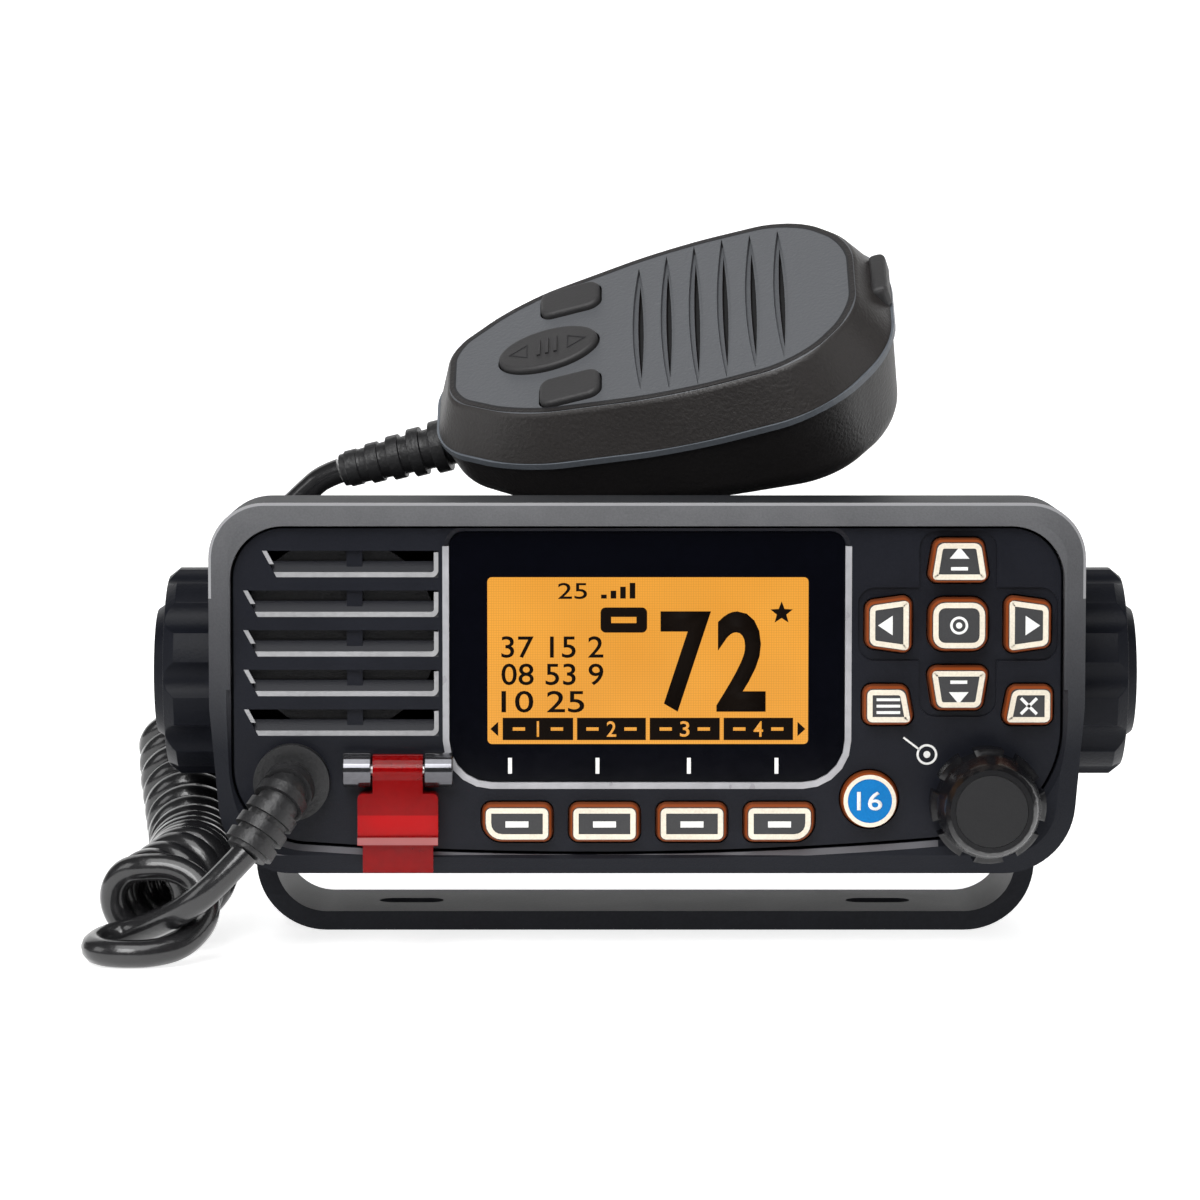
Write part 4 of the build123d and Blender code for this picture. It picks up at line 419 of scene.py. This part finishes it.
def lit_screen():
    """Amber light through a liquid-crystal film: a fine grid of dots over a patchy glow."""
    made = bpy.data.materials.new("amber screen")
    made.use_nodes = True
    shader = made.node_tree.nodes["Principled BSDF"]
    shader.inputs["Roughness"].default_value = 0.3
    shader.inputs["Emission Strength"].default_value = 1.0
    start = Socket(made.node_tree)
    place = start.node("TexCoord", {}, {}, "Object")
    x, z = [start.node("SeparateXYZ", {}, {0: place}, axis) * 1000 for axis in (0, 2)]
    upright, level = [start.maths("FRACT", axis * DOTS_PER_MM) < DOT_GAP for axis in (x, z)]
    lines = start.maths("MAXIMUM", level, upright)
    patches = start.node("TexNoise", {}, {"Vector": place, "Scale": 45.0, "Detail": 2.0})
    stops = {"stops": [(0.25, (0.76, 0.315, 0.028, 1)), (0.75, (0.86, 0.375, 0.040, 1))]}
    amber = start.node("ValToRGB", stops, {0: patches}).tint([0.55, 0.215, 0.018, 1], lines * 0.6)
    shade = amber.tint([0, 0, 0, 1], 0.92)
    made.node_tree.links.new(amber.output, shader.inputs["Emission Color"])
    made.node_tree.links.new(shade.output, shader.inputs["Base Color"])
    return made


window_finish = moulded("black window glass", (0.0012, 0.0014, 0.0032), 0.10, 400.0, 0.0,
                        Specular_IOR_Level=0.16)
screen_finish = lit_screen()
ink_finish = moulded("screen ink", (0.004, 0.002, 0.001), 0.6, 2000.0, 0.0, Specular_IOR_Level=0.05)
print_finish = moulded("white print", (0.80, 0.80, 0.78), 0.45, 2500.0, 0.00001)
dress(window_finish, "display_window")

shape = bmesh.new()
panel(shape, *SCREEN, WINDOW_FACE - 0.02, 0.8)
thicken(shape, 0.03)
piece("screen_film", shape, screen_finish, "radio")

INK = WINDOW_FACE - 0.05
shape = bmesh.new()
numerals(shape, "7", 2.4, 11.4, 43.7, 61.7, INK, 0.03)
numerals(shape, "2", 12.4, 21.2, 43.7, 61.7, INK, 0.03)
for text, right, height in (("37 15 2", -7.8, 55.3), ("08 53 9", -7.8, 50.4), ("10 25", -11.2, 45.5)):
    numerals(shape, text, -26.0, right, height - 1.95, height + 1.95, INK, 0.006)
numerals(shape, "25", -15.9, -10.7, 63.9, 66.8, INK, 0.004)
for step in range(4):
    panel(shape, -8.2 + 1.7 * step, -7.2 + 1.7 * step, 64.0, 64.7 + 0.7 * step, INK)
panel(shape, -8.3, 0.0, 57.9, 62.4, INK, 0.9)
star = [(24.0 + math.sin(math.pi * k / 5) * reach, 61.4 + math.cos(math.pi * k / 5) * reach)
        for k, reach in ((k, 2.1 if k % 2 == 0 else 0.9) for k in range(10))]
polygon(shape, star, INK)
TABS = ((-25.8, -13.2), (-12.5, -0.2), (0.5, 13.0), (13.7, 26.1))
for left, right in TABS:
    panel(shape, left, right, 38.6, 42.6, INK)
polygon(shape, [(-26.6, 41.9), (-26.6, 39.3), (-28.0, 40.6)], INK)
polygon(shape, [(26.9, 41.9), (28.3, 40.6), (26.9, 39.3)], INK)
thicken(shape, 0.02)
piece("screen_figures", shape, ink_finish, "radio")

shape = bmesh.new()
panel(shape, -6.4, -1.9, 59.6, 60.7, INK - 0.02)
for number, (left, right) in enumerate(TABS, 1):
    middle, half = (left + right) / 2, 0.2 if number == 1 else 0.85
    numerals(shape, str(number), middle - half, middle + half, 39.2, 42.0, INK - 0.02, 0.01)
    for side in (-1, 1):
        panel(shape, middle + side * 3.4 - 1.1, middle + side * 3.4 + 1.1, 40.3, 40.9, INK - 0.02)
thicken(shape, 0.02)
piece("screen_tab_figures", shape, screen_finish, "radio")

shape = bmesh.new()
for tick in (-24.5, -8.85, 7.5, 23.16):
    panel(shape, tick - 0.35, tick + 0.35, 32.55, 35.4, WINDOW_FACE)
thicken(shape, 0.04)
piece("window_ticks", shape, print_finish, "radio")

module_finish = moulded("display tray", (0.45, 0.45, 0.43), 0.5, 1200.0, 0.00002)
dress(module_finish, "display_module")


# ---------------------------------------------------------------- keys
# Hard caps of dark plastic on a rubber mat. Each has a raised pale ring moulded round its
# top, an amber-lit flank and a printed mark; the channel key is blue.

KEY_TOP = -46.2
FLANK_TOP = -46.12
FLANK_LOW = -44.6
KEY_CORNER = 1.7
RING_INSET = 0.75
RING_WIDTH = 0.95
RING_RISE = 0.12
LIT_FLANK = {
    "zones": [(lambda x, y, z: y > FLANK_TOP, (0.16, 0.035, 0.006), 0.5, 0.0)],
    "glow": (lambda x, y, z: (y > FLANK_TOP) * (y < FLANK_LOW), (0.90, 0.16, 0.015), 0.16),
}
key_finish = moulded("lit key", (0.030, 0.030, 0.032), 0.46, 2400.0, 0.00003, **LIT_FLANK)
blue_finish = moulded("blue key", (0.0, 0.155, 0.44), 0.40, 2400.0, 0.00002,
                      Specular_IOR_Level=0.2, **LIT_FLANK)
ring_finish = moulded("pale key ring", (0.74, 0.67, 0.55), 0.5, 2500.0, 0.00001)


def disc(shape, x, z, radius, depth):
    """Adds a round face at one depth."""
    place = Matrix.Translation((x, depth, z)) @ Matrix.Rotation(math.pi / 2, 4, "X")
    bmesh.ops.create_circle(shape, cap_ends=True, radius=radius, segments=48, matrix=place)


def arrow(shape, x, z, across, up):
    """Adds a triangle that points along one direction."""
    length = math.hypot(across, up)
    side = (-up / length * 1.75, across / length * 1.75)
    corners = [(x + across, z + up), (x - side[0], z - side[1]), (x + side[0], z + side[1])]
    polygon(shape, corners, KEY_TOP)


def bar(shape, x, z, width, height, turn=0.0):
    """Adds a short bar, turned by an angle in degrees."""
    cos, sin = math.cos(math.radians(turn)), math.sin(math.radians(turn))
    corners = [(-width / 2, height / 2), (width / 2, height / 2), (width / 2, -height / 2),
               (-width / 2, -height / 2)]
    polygon(shape, [(x + a * cos - b * sin, z + a * sin + b * cos) for a, b in corners], KEY_TOP)


def key_print(name, mark, body):
    """Makes a key's mark, as a thin layer of white print on its top."""
    thicken(mark, 0.07)
    piece(name, mark, print_finish, body)


def key_ring(name, outline, corner_reaches, body):
    """Makes the pale ring inside a key's outline."""
    ring = bmesh.new()
    polygon(ring, outline, KEY_TOP, corner_reaches)
    band(ring, RING_INSET, RING_WIDTH)
    thicken(ring, RING_RISE)
    piece(name, ring, ring_finish, body)


SOFTKEY_PITCH = 15.6
SOFTKEY_ROW = (0.2, 24.0)       # the middle of the row
SOFTKEY_CUT = 3.6               # the reach of the row's two outer low corners
for number in range(4):
    x, z = SOFTKEY_ROW[0] + (number - 1.5) * SOFTKEY_PITCH, SOFTKEY_ROW[1]
    key_body = f"softkey_{number + 1}_cap"
    corners = [(x - 6.3, z + 3.55), (x + 6.3, z + 3.55), (x + 6.3, z - 3.55), (x - 6.3, z - 3.55)]
    reaches = [KEY_CORNER, KEY_CORNER, SOFTKEY_CUT if number == 3 else KEY_CORNER,
               SOFTKEY_CUT if number == 0 else KEY_CORNER]
    key_ring(f"softkey_{number + 1}_ring", corners, reaches, key_body)
    shape = bmesh.new()
    bar(shape, x, z - 0.1, 4.1, 1.1)
    key_print(f"softkey_{number + 1}_dash", shape, key_body)

KEY_OUTLINES = {
    "key_enter": (55.4, 59.5, [(-5.35, 4.8), (5.35, 4.8), (5.35, -4.8), (-5.35, -4.8)], 2.9),
    "key_up": (55.4, 70.9, [(-4.4, 4.0), (4.4, 4.0), (5.7, -4.0), (-5.7, -4.0)], KEY_CORNER),
    "key_down": (55.4, 48.1, [(-5.7, 4.0), (5.7, 4.0), (4.4, -4.0), (-4.4, -4.0)], KEY_CORNER),
    "key_left": (43.0, 59.5, [(-4.2, 4.15), (4.2, 5.35), (4.2, -5.35), (-4.2, -4.15)], KEY_CORNER),
    "key_right": (67.8, 59.5, [(-4.2, 5.35), (4.2, 4.15), (4.2, -4.15), (-4.2, -5.35)], KEY_CORNER),
    "key_menu": (43.1, 45.1, [(-4.7, 3.65), (3.3, 3.65), (4.7, -3.65), (-4.7, -3.65)], KEY_CORNER),
    "key_clear": (67.7, 45.1, [(-3.3, 3.65), (4.7, 3.65), (4.7, -3.65), (-4.7, -3.65)], KEY_CORNER),
}
for name, (x, z, corners, reach) in KEY_OUTLINES.items():
    key_ring(name + "_ring", [(x + a, z + b) for a, b in corners], [reach] * 4, name + "_cap")

shape = bmesh.new()
disc(shape, 55.4, 59.5, 1.7, KEY_TOP)
band(shape, 0.1, 0.45)
disc(shape, 55.4, 59.5, 0.55, KEY_TOP)
key_print("key_enter_mark", shape, "key_enter_cap")

for name, x, z, across, up in (("key_up", 55.4, 71.4, 0, 2.1), ("key_down", 55.4, 47.6, 0, -2.1),
                               ("key_left", 43.6, 59.5, -2.6, 0), ("key_right", 67.2, 59.5, 2.6, 0)):
    shape = bmesh.new()
    arrow(shape, x, z, across, up)
    if up:
        bar(shape, x, z - up * 0.85, 3.0, 0.6)
    key_print(name + "_mark", shape, name + "_cap")

shape = bmesh.new()
for step in (-1.15, 0.0, 1.15):
    bar(shape, 42.9, 45.1 + step, 4.2, 0.5)
key_print("key_menu_mark", shape, "key_menu_cap")
for name, turn in (("key_clear_mark", 45), ("key_clear_mark_second", -45)):
    shape = bmesh.new()
    bar(shape, 67.9, 45.1, 4.0, 0.55, turn)
    key_print(name, shape, "key_clear_cap")

shape = bmesh.new()
disc(shape, 39.7, 28.1, 5.15, KEY_TOP)
band(shape, 0.45, 0.75)
thicken(shape, RING_RISE)
piece("key_channel_ring", shape, ring_finish, "key_channel_cap")
shape = bmesh.new()
numerals(shape, "16", 37.4, 41.9, 26.4, 29.8, KEY_TOP, 0.01)
key_print("key_channel_number", shape, "key_channel_cap")

dress(key_finish, "softkey_1", "softkey_2", "softkey_3", "softkey_4", *KEY_OUTLINES)
dress(blue_finish, "key_channel")
mat_finish = moulded("key mat rubber", (0.05, 0.05, 0.05), 0.7, 1500.0, 0.00004)
dress(mat_finish, "keypad_mat")


# ---------------------------------------------------------------- volume knob
# A turned-looking plastic knob with eight notches in its gloss skirt and a flat matt cap
# glued in its face. It is pushed onto the encoder's shaft, and a symbol shows that it turns.

knob_finish = moulded("gloss black knob", (0.004, 0.004, 0.005), 0.24, 1800.0, 0.000003,
                      Specular_IOR_Level=0.28)
cap_finish = moulded("matt knob cap", (0.011, 0.011, 0.012), 0.50, 2200.0, 0.00003,
                     Specular_IOR_Level=0.3)
dress(knob_finish, "volume_knob")
dress(cap_finish, "knob_cap")
soften(0.25, "volume_knob")
soften(0.12, "knob_cap")

shape = bmesh.new()
disc(shape, 50.0, 36.1, 1.95, PLATE_FACE)
band(shape, 0.1, 0.4)
disc(shape, 50.0, 36.1, 0.62, PLATE_FACE)
polygon(shape, [(48.78, 37.1), (45.9, 39.3), (45.7, 39.02), (48.58, 36.82)], PLATE_FACE)
thicken(shape, 0.05)
piece("turn_symbol", shape, print_finish, "radio")

encoder_finish = moulded("encoder case", (0.35, 0.35, 0.34), 0.4, 1500.0, 0.00002, Metallic=0.8)
steel_finish = moulded("plated steel", (0.50, 0.50, 0.49), 0.28, 1500.0, 0.00001, Metallic=1.0)
dress(encoder_finish, "encoder_body")
dress(steel_finish, "encoder_shaft", "encoder_sleeve", "cover_hinge_pin", "panel_screws")


# ---------------------------------------------------------------- distress button and cover
# A red button under a flip cover of clear red polycarbonate, which swings up on a steel pin
# between two gloss bosses. A spring in the hinge holds it shut.

cover_finish = moulded(
    "clear red cover", (0.42, 0.0022, 0.0035), 0.10, 700.0, 0.0, Transmission_Weight=0.6, IOR=1.3,
    Specular_IOR_Level=0.2,
    zones=[
        # painted highlight: a pale pink line across the front, near the cover's lower edge
        (lambda x, y, z: (z > 20.6) * (z < 21.9) * (y < -48.7), (0.80, 0.28, 0.28), 0.2, 0.0),
        # painted light: a brighter red band across the middle of the cover
        (lambda x, y, z: (z > 22.2) * (z < 25.8), (0.75, 0.003, 0.005), 0.10, 0.0),
    ],
)
button_finish = moulded("red button", (0.50, 0.006, 0.010), 0.40, 1800.0, 0.00002)
boss_finish = moulded("gloss boss", (0.11, 0.11, 0.12), 0.12, 1000.0, 0.0, Metallic=0.9)
dress(cover_finish, "distress_cover")
dress(button_finish, "distress_button")
dress(boss_finish, "hinge_bosses")
soften(0.2, "distress_cover", "hinge_bosses", "distress_button")


# ---------------------------------------------------------------- boards and speaker
# A coated steel-basket speaker glued behind the louvres, and two green circuit boards that
# carry the display, the switches and the transmitter's screened parts.

board_finish = moulded(
    "circuit board", (0.010, 0.085, 0.030), 0.42, 800.0, 0.00003,
    zones=[(lambda x, y, z: x.maths("FRACT", x * 0.37) < 0.10, (0.45, 0.30, 0.08), 0.35, 1.0)],
)
cloth_finish = moulded("speaker cloth", (0.008, 0.008, 0.009), 0.85, 1400.0, 0.00012)
cone_finish = moulded("speaker cone", (0.03, 0.028, 0.026), 0.8, 1200.0, 0.00008)
magnet_finish = moulded("ferrite magnet", (0.05, 0.05, 0.053), 0.5, 900.0, 0.00005)
dress(board_finish, "logic_board", "main_board", "mic_board")
dress(cloth_finish, "speaker_membrane")
dress(cone_finish, "speaker_cone")
dress(encoder_finish, "speaker_basket", "key_switches")
dress(magnet_finish, "speaker_magnet")


# ---------------------------------------------------------------- case
# A die-cast aluminium case with a powder-coated skin and cooling fins on its back, where a
# nickel-plated aerial socket and the gland of the power lead are fixed.

SOCKET_PLACE = (-43.0, 47.5)


def insulator(x, y, z):
    """1 on the aerial socket's pale insulator, a ring round the contact's hole."""
    across, up = x - SOCKET_PLACE[0], z - SOCKET_PLACE[1]
    square = across * across + up * up
    return (square < 12.9) * (square > 4.2)


case_finish = moulded("powder-coated case", (0.022, 0.022, 0.024), 0.5, 1500.0, 0.00009)
gasket_finish = moulded("gasket rubber", (0.014, 0.014, 0.014), 0.75, 1500.0, 0.00004)
socket_finish = moulded("nickel socket", (0.55, 0.54, 0.51), 0.26, 1500.0, 0.00001, Metallic=1.0,
                        zones=[(insulator, (0.75, 0.74, 0.70), 0.5, 0.0)])
brass_finish = moulded("brass insert", (0.55, 0.36, 0.12), 0.32, 1500.0, 0.00001, Metallic=1.0)
dress(case_finish, "chassis")
dress(gasket_finish, "panel_gasket", "friction_pads", "power_gland")
dress(socket_finish, "antenna_socket")
dress(brass_finish, "pivot_inserts")
soften(0.5, "chassis")


# ---------------------------------------------------------------- bracket and its knobs
# A U of pressed steel strip with a dark coat and two slots for screws in its foot. Two
# fluted plastic knobs with moulded-in bolts clamp the case between its arms.

bracket_finish = moulded("coated bracket", (0.018, 0.019, 0.023), 0.44, 1900.0, 0.00004,
                         Specular_IOR_Level=0.08)
grip_finish = moulded("bracket knob", (0.0060, 0.0068, 0.0105), 0.42, 1700.0, 0.00005,
                      Specular_IOR_Level=0.12)
dress(bracket_finish, "bracket")
dress(grip_finish, "bracket_knob_left", "bracket_knob_right")
dress(steel_finish, "knob_bolt_left", "knob_bolt_right")
soften(0.5, "bracket", "bracket_knob_left", "bracket_knob_right")


# ---------------------------------------------------------------- microphone
# Two grained plastic shells screwed together over a pale seam strip. The face is smooth
# grey, with leaf-shaped sound slots and three rubber keys.

MIC_PLACE = Matrix.Translation((-38.4, 38.8, 100.6)) @ Matrix.Rotation(math.radians(-9.1), 4, "Z") \
    @ Matrix.Rotation(math.radians(-14.1), 4, "Y") @ Matrix.Rotation(math.radians(33.4), 4, "X")


def grey_face(x, y, z):
    """1 on the microphone's flat face and in its sound slots, 0 on the flanks."""
    along, across, up = [
        x * axis.x + y * axis.y + z * axis.z - axis.dot(MIC_PLACE.translation)
        for axis in (MIC_PLACE.to_3x3() @ Vector(unit) for unit in ((1, 0, 0), (0, 1, 0), (0, 0, 1)))
    ]
    slots = (up > -1.1) * (along > 36) * (along < 71) * (across > -22.4) * (across < 22.4)
    return slots.maths("MAXIMUM", slots, up > -0.2)


mic_face_finish = moulded(
    "microphone shell", (0.025, 0.022, 0.021), 0.46, 1500.0, 0.00011,
    zones=[(grey_face, (0.105, 0.110, 0.119), 0.42, 0.0)],
)
mic_body_finish = moulded("grained microphone back", (0.020, 0.018, 0.018), 0.48, 1500.0, 0.00012)
mic_rubber_finish = moulded("microphone key rubber", (0.034, 0.033, 0.034), 0.55, 1900.0, 0.00004)
seam_finish = moulded("seam strip", (0.13, 0.145, 0.165), 0.40, 1800.0, 0.00002)
# painted shade for the face's groove, also used for the dark marks on the rocker
groove_shade_and_mark_finish = moulded("painted groove shade and marks", (0.016, 0.016, 0.018), 0.50, 1800.0, 0.00001)
dress(mic_face_finish, "mic_front_shell")
dress(mic_body_finish, "mic_rear_shell")
dress(mic_rubber_finish, "mic_key_upper", "mic_key_lower", "mic_rocker", "ptt_button")
dress(seam_finish, "mic_seam_gasket")
dress(steel_finish, "hanger_button", "mic_screws")

MIC_PLAN = [                    # along, across and the corner's radius, for one half
    (-4.0, 11.0, 14.0), (13.0, 24.1, 38.0), (45.0, 30.5, 90.0), (73.0, 30.0, 22.0),
    (87.0, 14.0, 22.0),
]
MIC_MIDDLE = 41.5


def mic_ring(name, inset, width, low, high, finish, growth=1.0):
    """Band that follows the microphone's outline, drawn in from its edge and then grown."""
    plan = MIC_PLAN + [(x, -y, radius) for x, y, radius in reversed(MIC_PLAN)]
    shape = bmesh.new()
    points = [shape.verts.new((x, y, low)) for x, y, _ in plan]
    shape.faces.new(points)
    for index, point in enumerate(points):
        before = Vector(plan[index - 1][:2]) - Vector(plan[index][:2])
        after = Vector(plan[(index + 1) % len(plan)][:2]) - Vector(plan[index][:2])
        reach = plan[index][2] * math.tan((math.pi - before.angle(after)) / 2)
        bmesh.ops.bevel(shape, geom=[point], offset=reach, segments=8, profile=0.5, affect="VERTICES",
                        material=-1)
    band(shape, inset, width)
    grown = bmesh.ops.extrude_face_region(shape, geom=shape.faces[:])["geom"]
    bmesh.ops.translate(shape, vec=(0, 0, high - low),
                        verts=[part for part in grown if isinstance(part, bmesh.types.BMVert)])
    grow = Matrix.Translation((MIC_MIDDLE, 0, 0)) @ Matrix.Diagonal((growth, growth, 1.0, 1.0)) \
        @ Matrix.Translation((-MIC_MIDDLE, 0, 0))
    bmesh.ops.transform(shape, matrix=MIC_PLACE @ grow, verts=shape.verts)
    piece(name, shape, finish, "microphone")


# painted shade: a dark line inside the face's border, where its groove lies in shade
mic_ring("mic_face_groove_shade", 5.75, 0.4, -0.05, 0.045, groove_shade_and_mark_finish)
mic_ring("mic_face_border", 4.9, 0.9, -0.12, 0.03, mic_body_finish)
mic_ring("mic_seam_strip", 0.02, 1.2, -9.9, -8.7, seam_finish, 1.012)

ON_MIC = MIC_PLACE @ Matrix(((1, 0, 0, 0), (0, 0, 1, 0), (0, -1, 0, 0), (0, 0, 0, 1)))
for name, corners in (("mic_rocker_mark_down", [(13.2, -0.3), (17.0, 1.9), (17.0, -2.5)]),
                      ("mic_rocker_mark_up", [(28.8, -0.3), (25.0, -2.5), (25.0, 1.9)])):
    shape = bmesh.new()
    polygon(shape, corners, -1.2)
    band(shape, 0.02, 0.4)
    thicken(shape, 0.1)
    bmesh.ops.transform(shape, matrix=ON_MIC, verts=shape.verts)
    piece(name, shape, groove_shade_and_mark_finish, "mic_rocker_key")

shape = bmesh.new()
bmesh.ops.create_cube(shape, size=1.0, matrix=Matrix.Translation((85.9, 5.0, -6.2))
                      @ Matrix.Diagonal((3.4, 13.0, 5.0, 1.0)))
bmesh.ops.bevel(shape, geom=shape.edges[:], offset=1.2, segments=4, profile=0.5, affect="EDGES", material=-1)
bmesh.ops.transform(shape, matrix=MIC_PLACE, verts=shape.verts)
piece("mic_end_bumper", shape, mic_rubber_finish, "microphone")

shape = bmesh.new()
bmesh.ops.create_cube(shape, size=1.0, matrix=MIC_PLACE @ Matrix.Translation((53.4, 0, -2.35))
                      @ Matrix.Diagonal((33.0, 50.0, 0.12, 1.0)))
piece("mic_cloth", shape, cloth_finish, "microphone")

boot_finish = moulded("boot rubber", (0.013, 0.013, 0.014), 0.42, 1300.0, 0.00010)
dress(boot_finish, "mic_cord_boot", "panel_cord_boot")
soften(0.3, "mic_cord_boot", "panel_cord_boot")


# ---------------------------------------------------------------- floor and lights
# A pale sweep of paper under and behind the radio, lit evenly. A large box hangs overhead,
# weaker ones stand at the front and the sides, and the room in front is left dark.

floor_finish = moulded("pale floor", (0.80, 0.80, 0.80), 0.6, 300.0, 0.0)
floor_shader = floor_finish.node_tree.nodes["Principled BSDF"]
floor_shader.inputs["Emission Color"].default_value = (1, 1, 1, 1)
floor_shader.inputs["Emission Strength"].default_value = 0.8
SWEEP_WIDTH = 3.2               # in metres, as are the sweep's points, back and up
SWEEP = [(-0.28, 0.0), (1.0, 0.0), (1.25, 0.05), (1.43, 0.18), (1.5, 0.4), (1.5, 2.0)]
shape = bmesh.new()
line = [shape.verts.new((-SWEEP_WIDTH / 2, y, z)) for y, z in SWEEP]
for before, after in zip(line, line[1:]):
    shape.edges.new((before, after))
grown = bmesh.ops.extrude_edge_only(shape, edges=shape.edges[:])["geom"]
bmesh.ops.translate(shape, vec=(SWEEP_WIDTH, 0, 0),
                    verts=[part for part in grown if isinstance(part, bmesh.types.BMVert)])
bmesh.ops.recalc_face_normals(shape, faces=shape.faces)
floor_mesh = bpy.data.meshes.new("floor")
shape.to_mesh(floor_mesh)
shape.free()
floor_mesh.materials.append(floor_finish)
floor = bpy.data.objects.new("floor", floor_mesh)
scene.collection.objects.link(floor)

for name, place, aim, size, power in (
    ("overhead light", (-0.1, -0.55, 0.95), (0, 0, 0.05), 0.8, 7.0),
    ("front light", (-0.3, -1.15, 0.80), (0, 0, 0.06), 0.6, 9.0),
    ("right light", (1.0, -0.35, 0.45), (0, 0, 0.06), 0.5, 1.2),
    ("left light", (-1.0, -0.35, 0.45), (0, 0, 0.06), 0.5, 1.8),
):
    lamp = bpy.data.lights.new(name, "AREA")
    lamp.shape = "SQUARE"
    lamp.size = size
    lamp.energy = power
    holder = bpy.data.objects.new(name, lamp)
    holder.location = place
    holder.rotation_euler = (Vector(aim) - Vector(place)).to_track_quat("-Z", "Y").to_euler()
    scene.collection.objects.link(holder)

world = bpy.data.worlds.new("studio")
world.use_nodes = True
sky = world.node_tree.nodes["Background"]
sky.inputs["Color"].default_value = (1, 1, 1, 1)
seen = Socket(world.node_tree).node("LightPath", {}, {}, "Is Camera Ray") * 0.9 + 0.1
world.node_tree.links.new(seen.output, sky.inputs["Strength"])
scene.world = world
scene.view_settings.view_transform = "Standard"
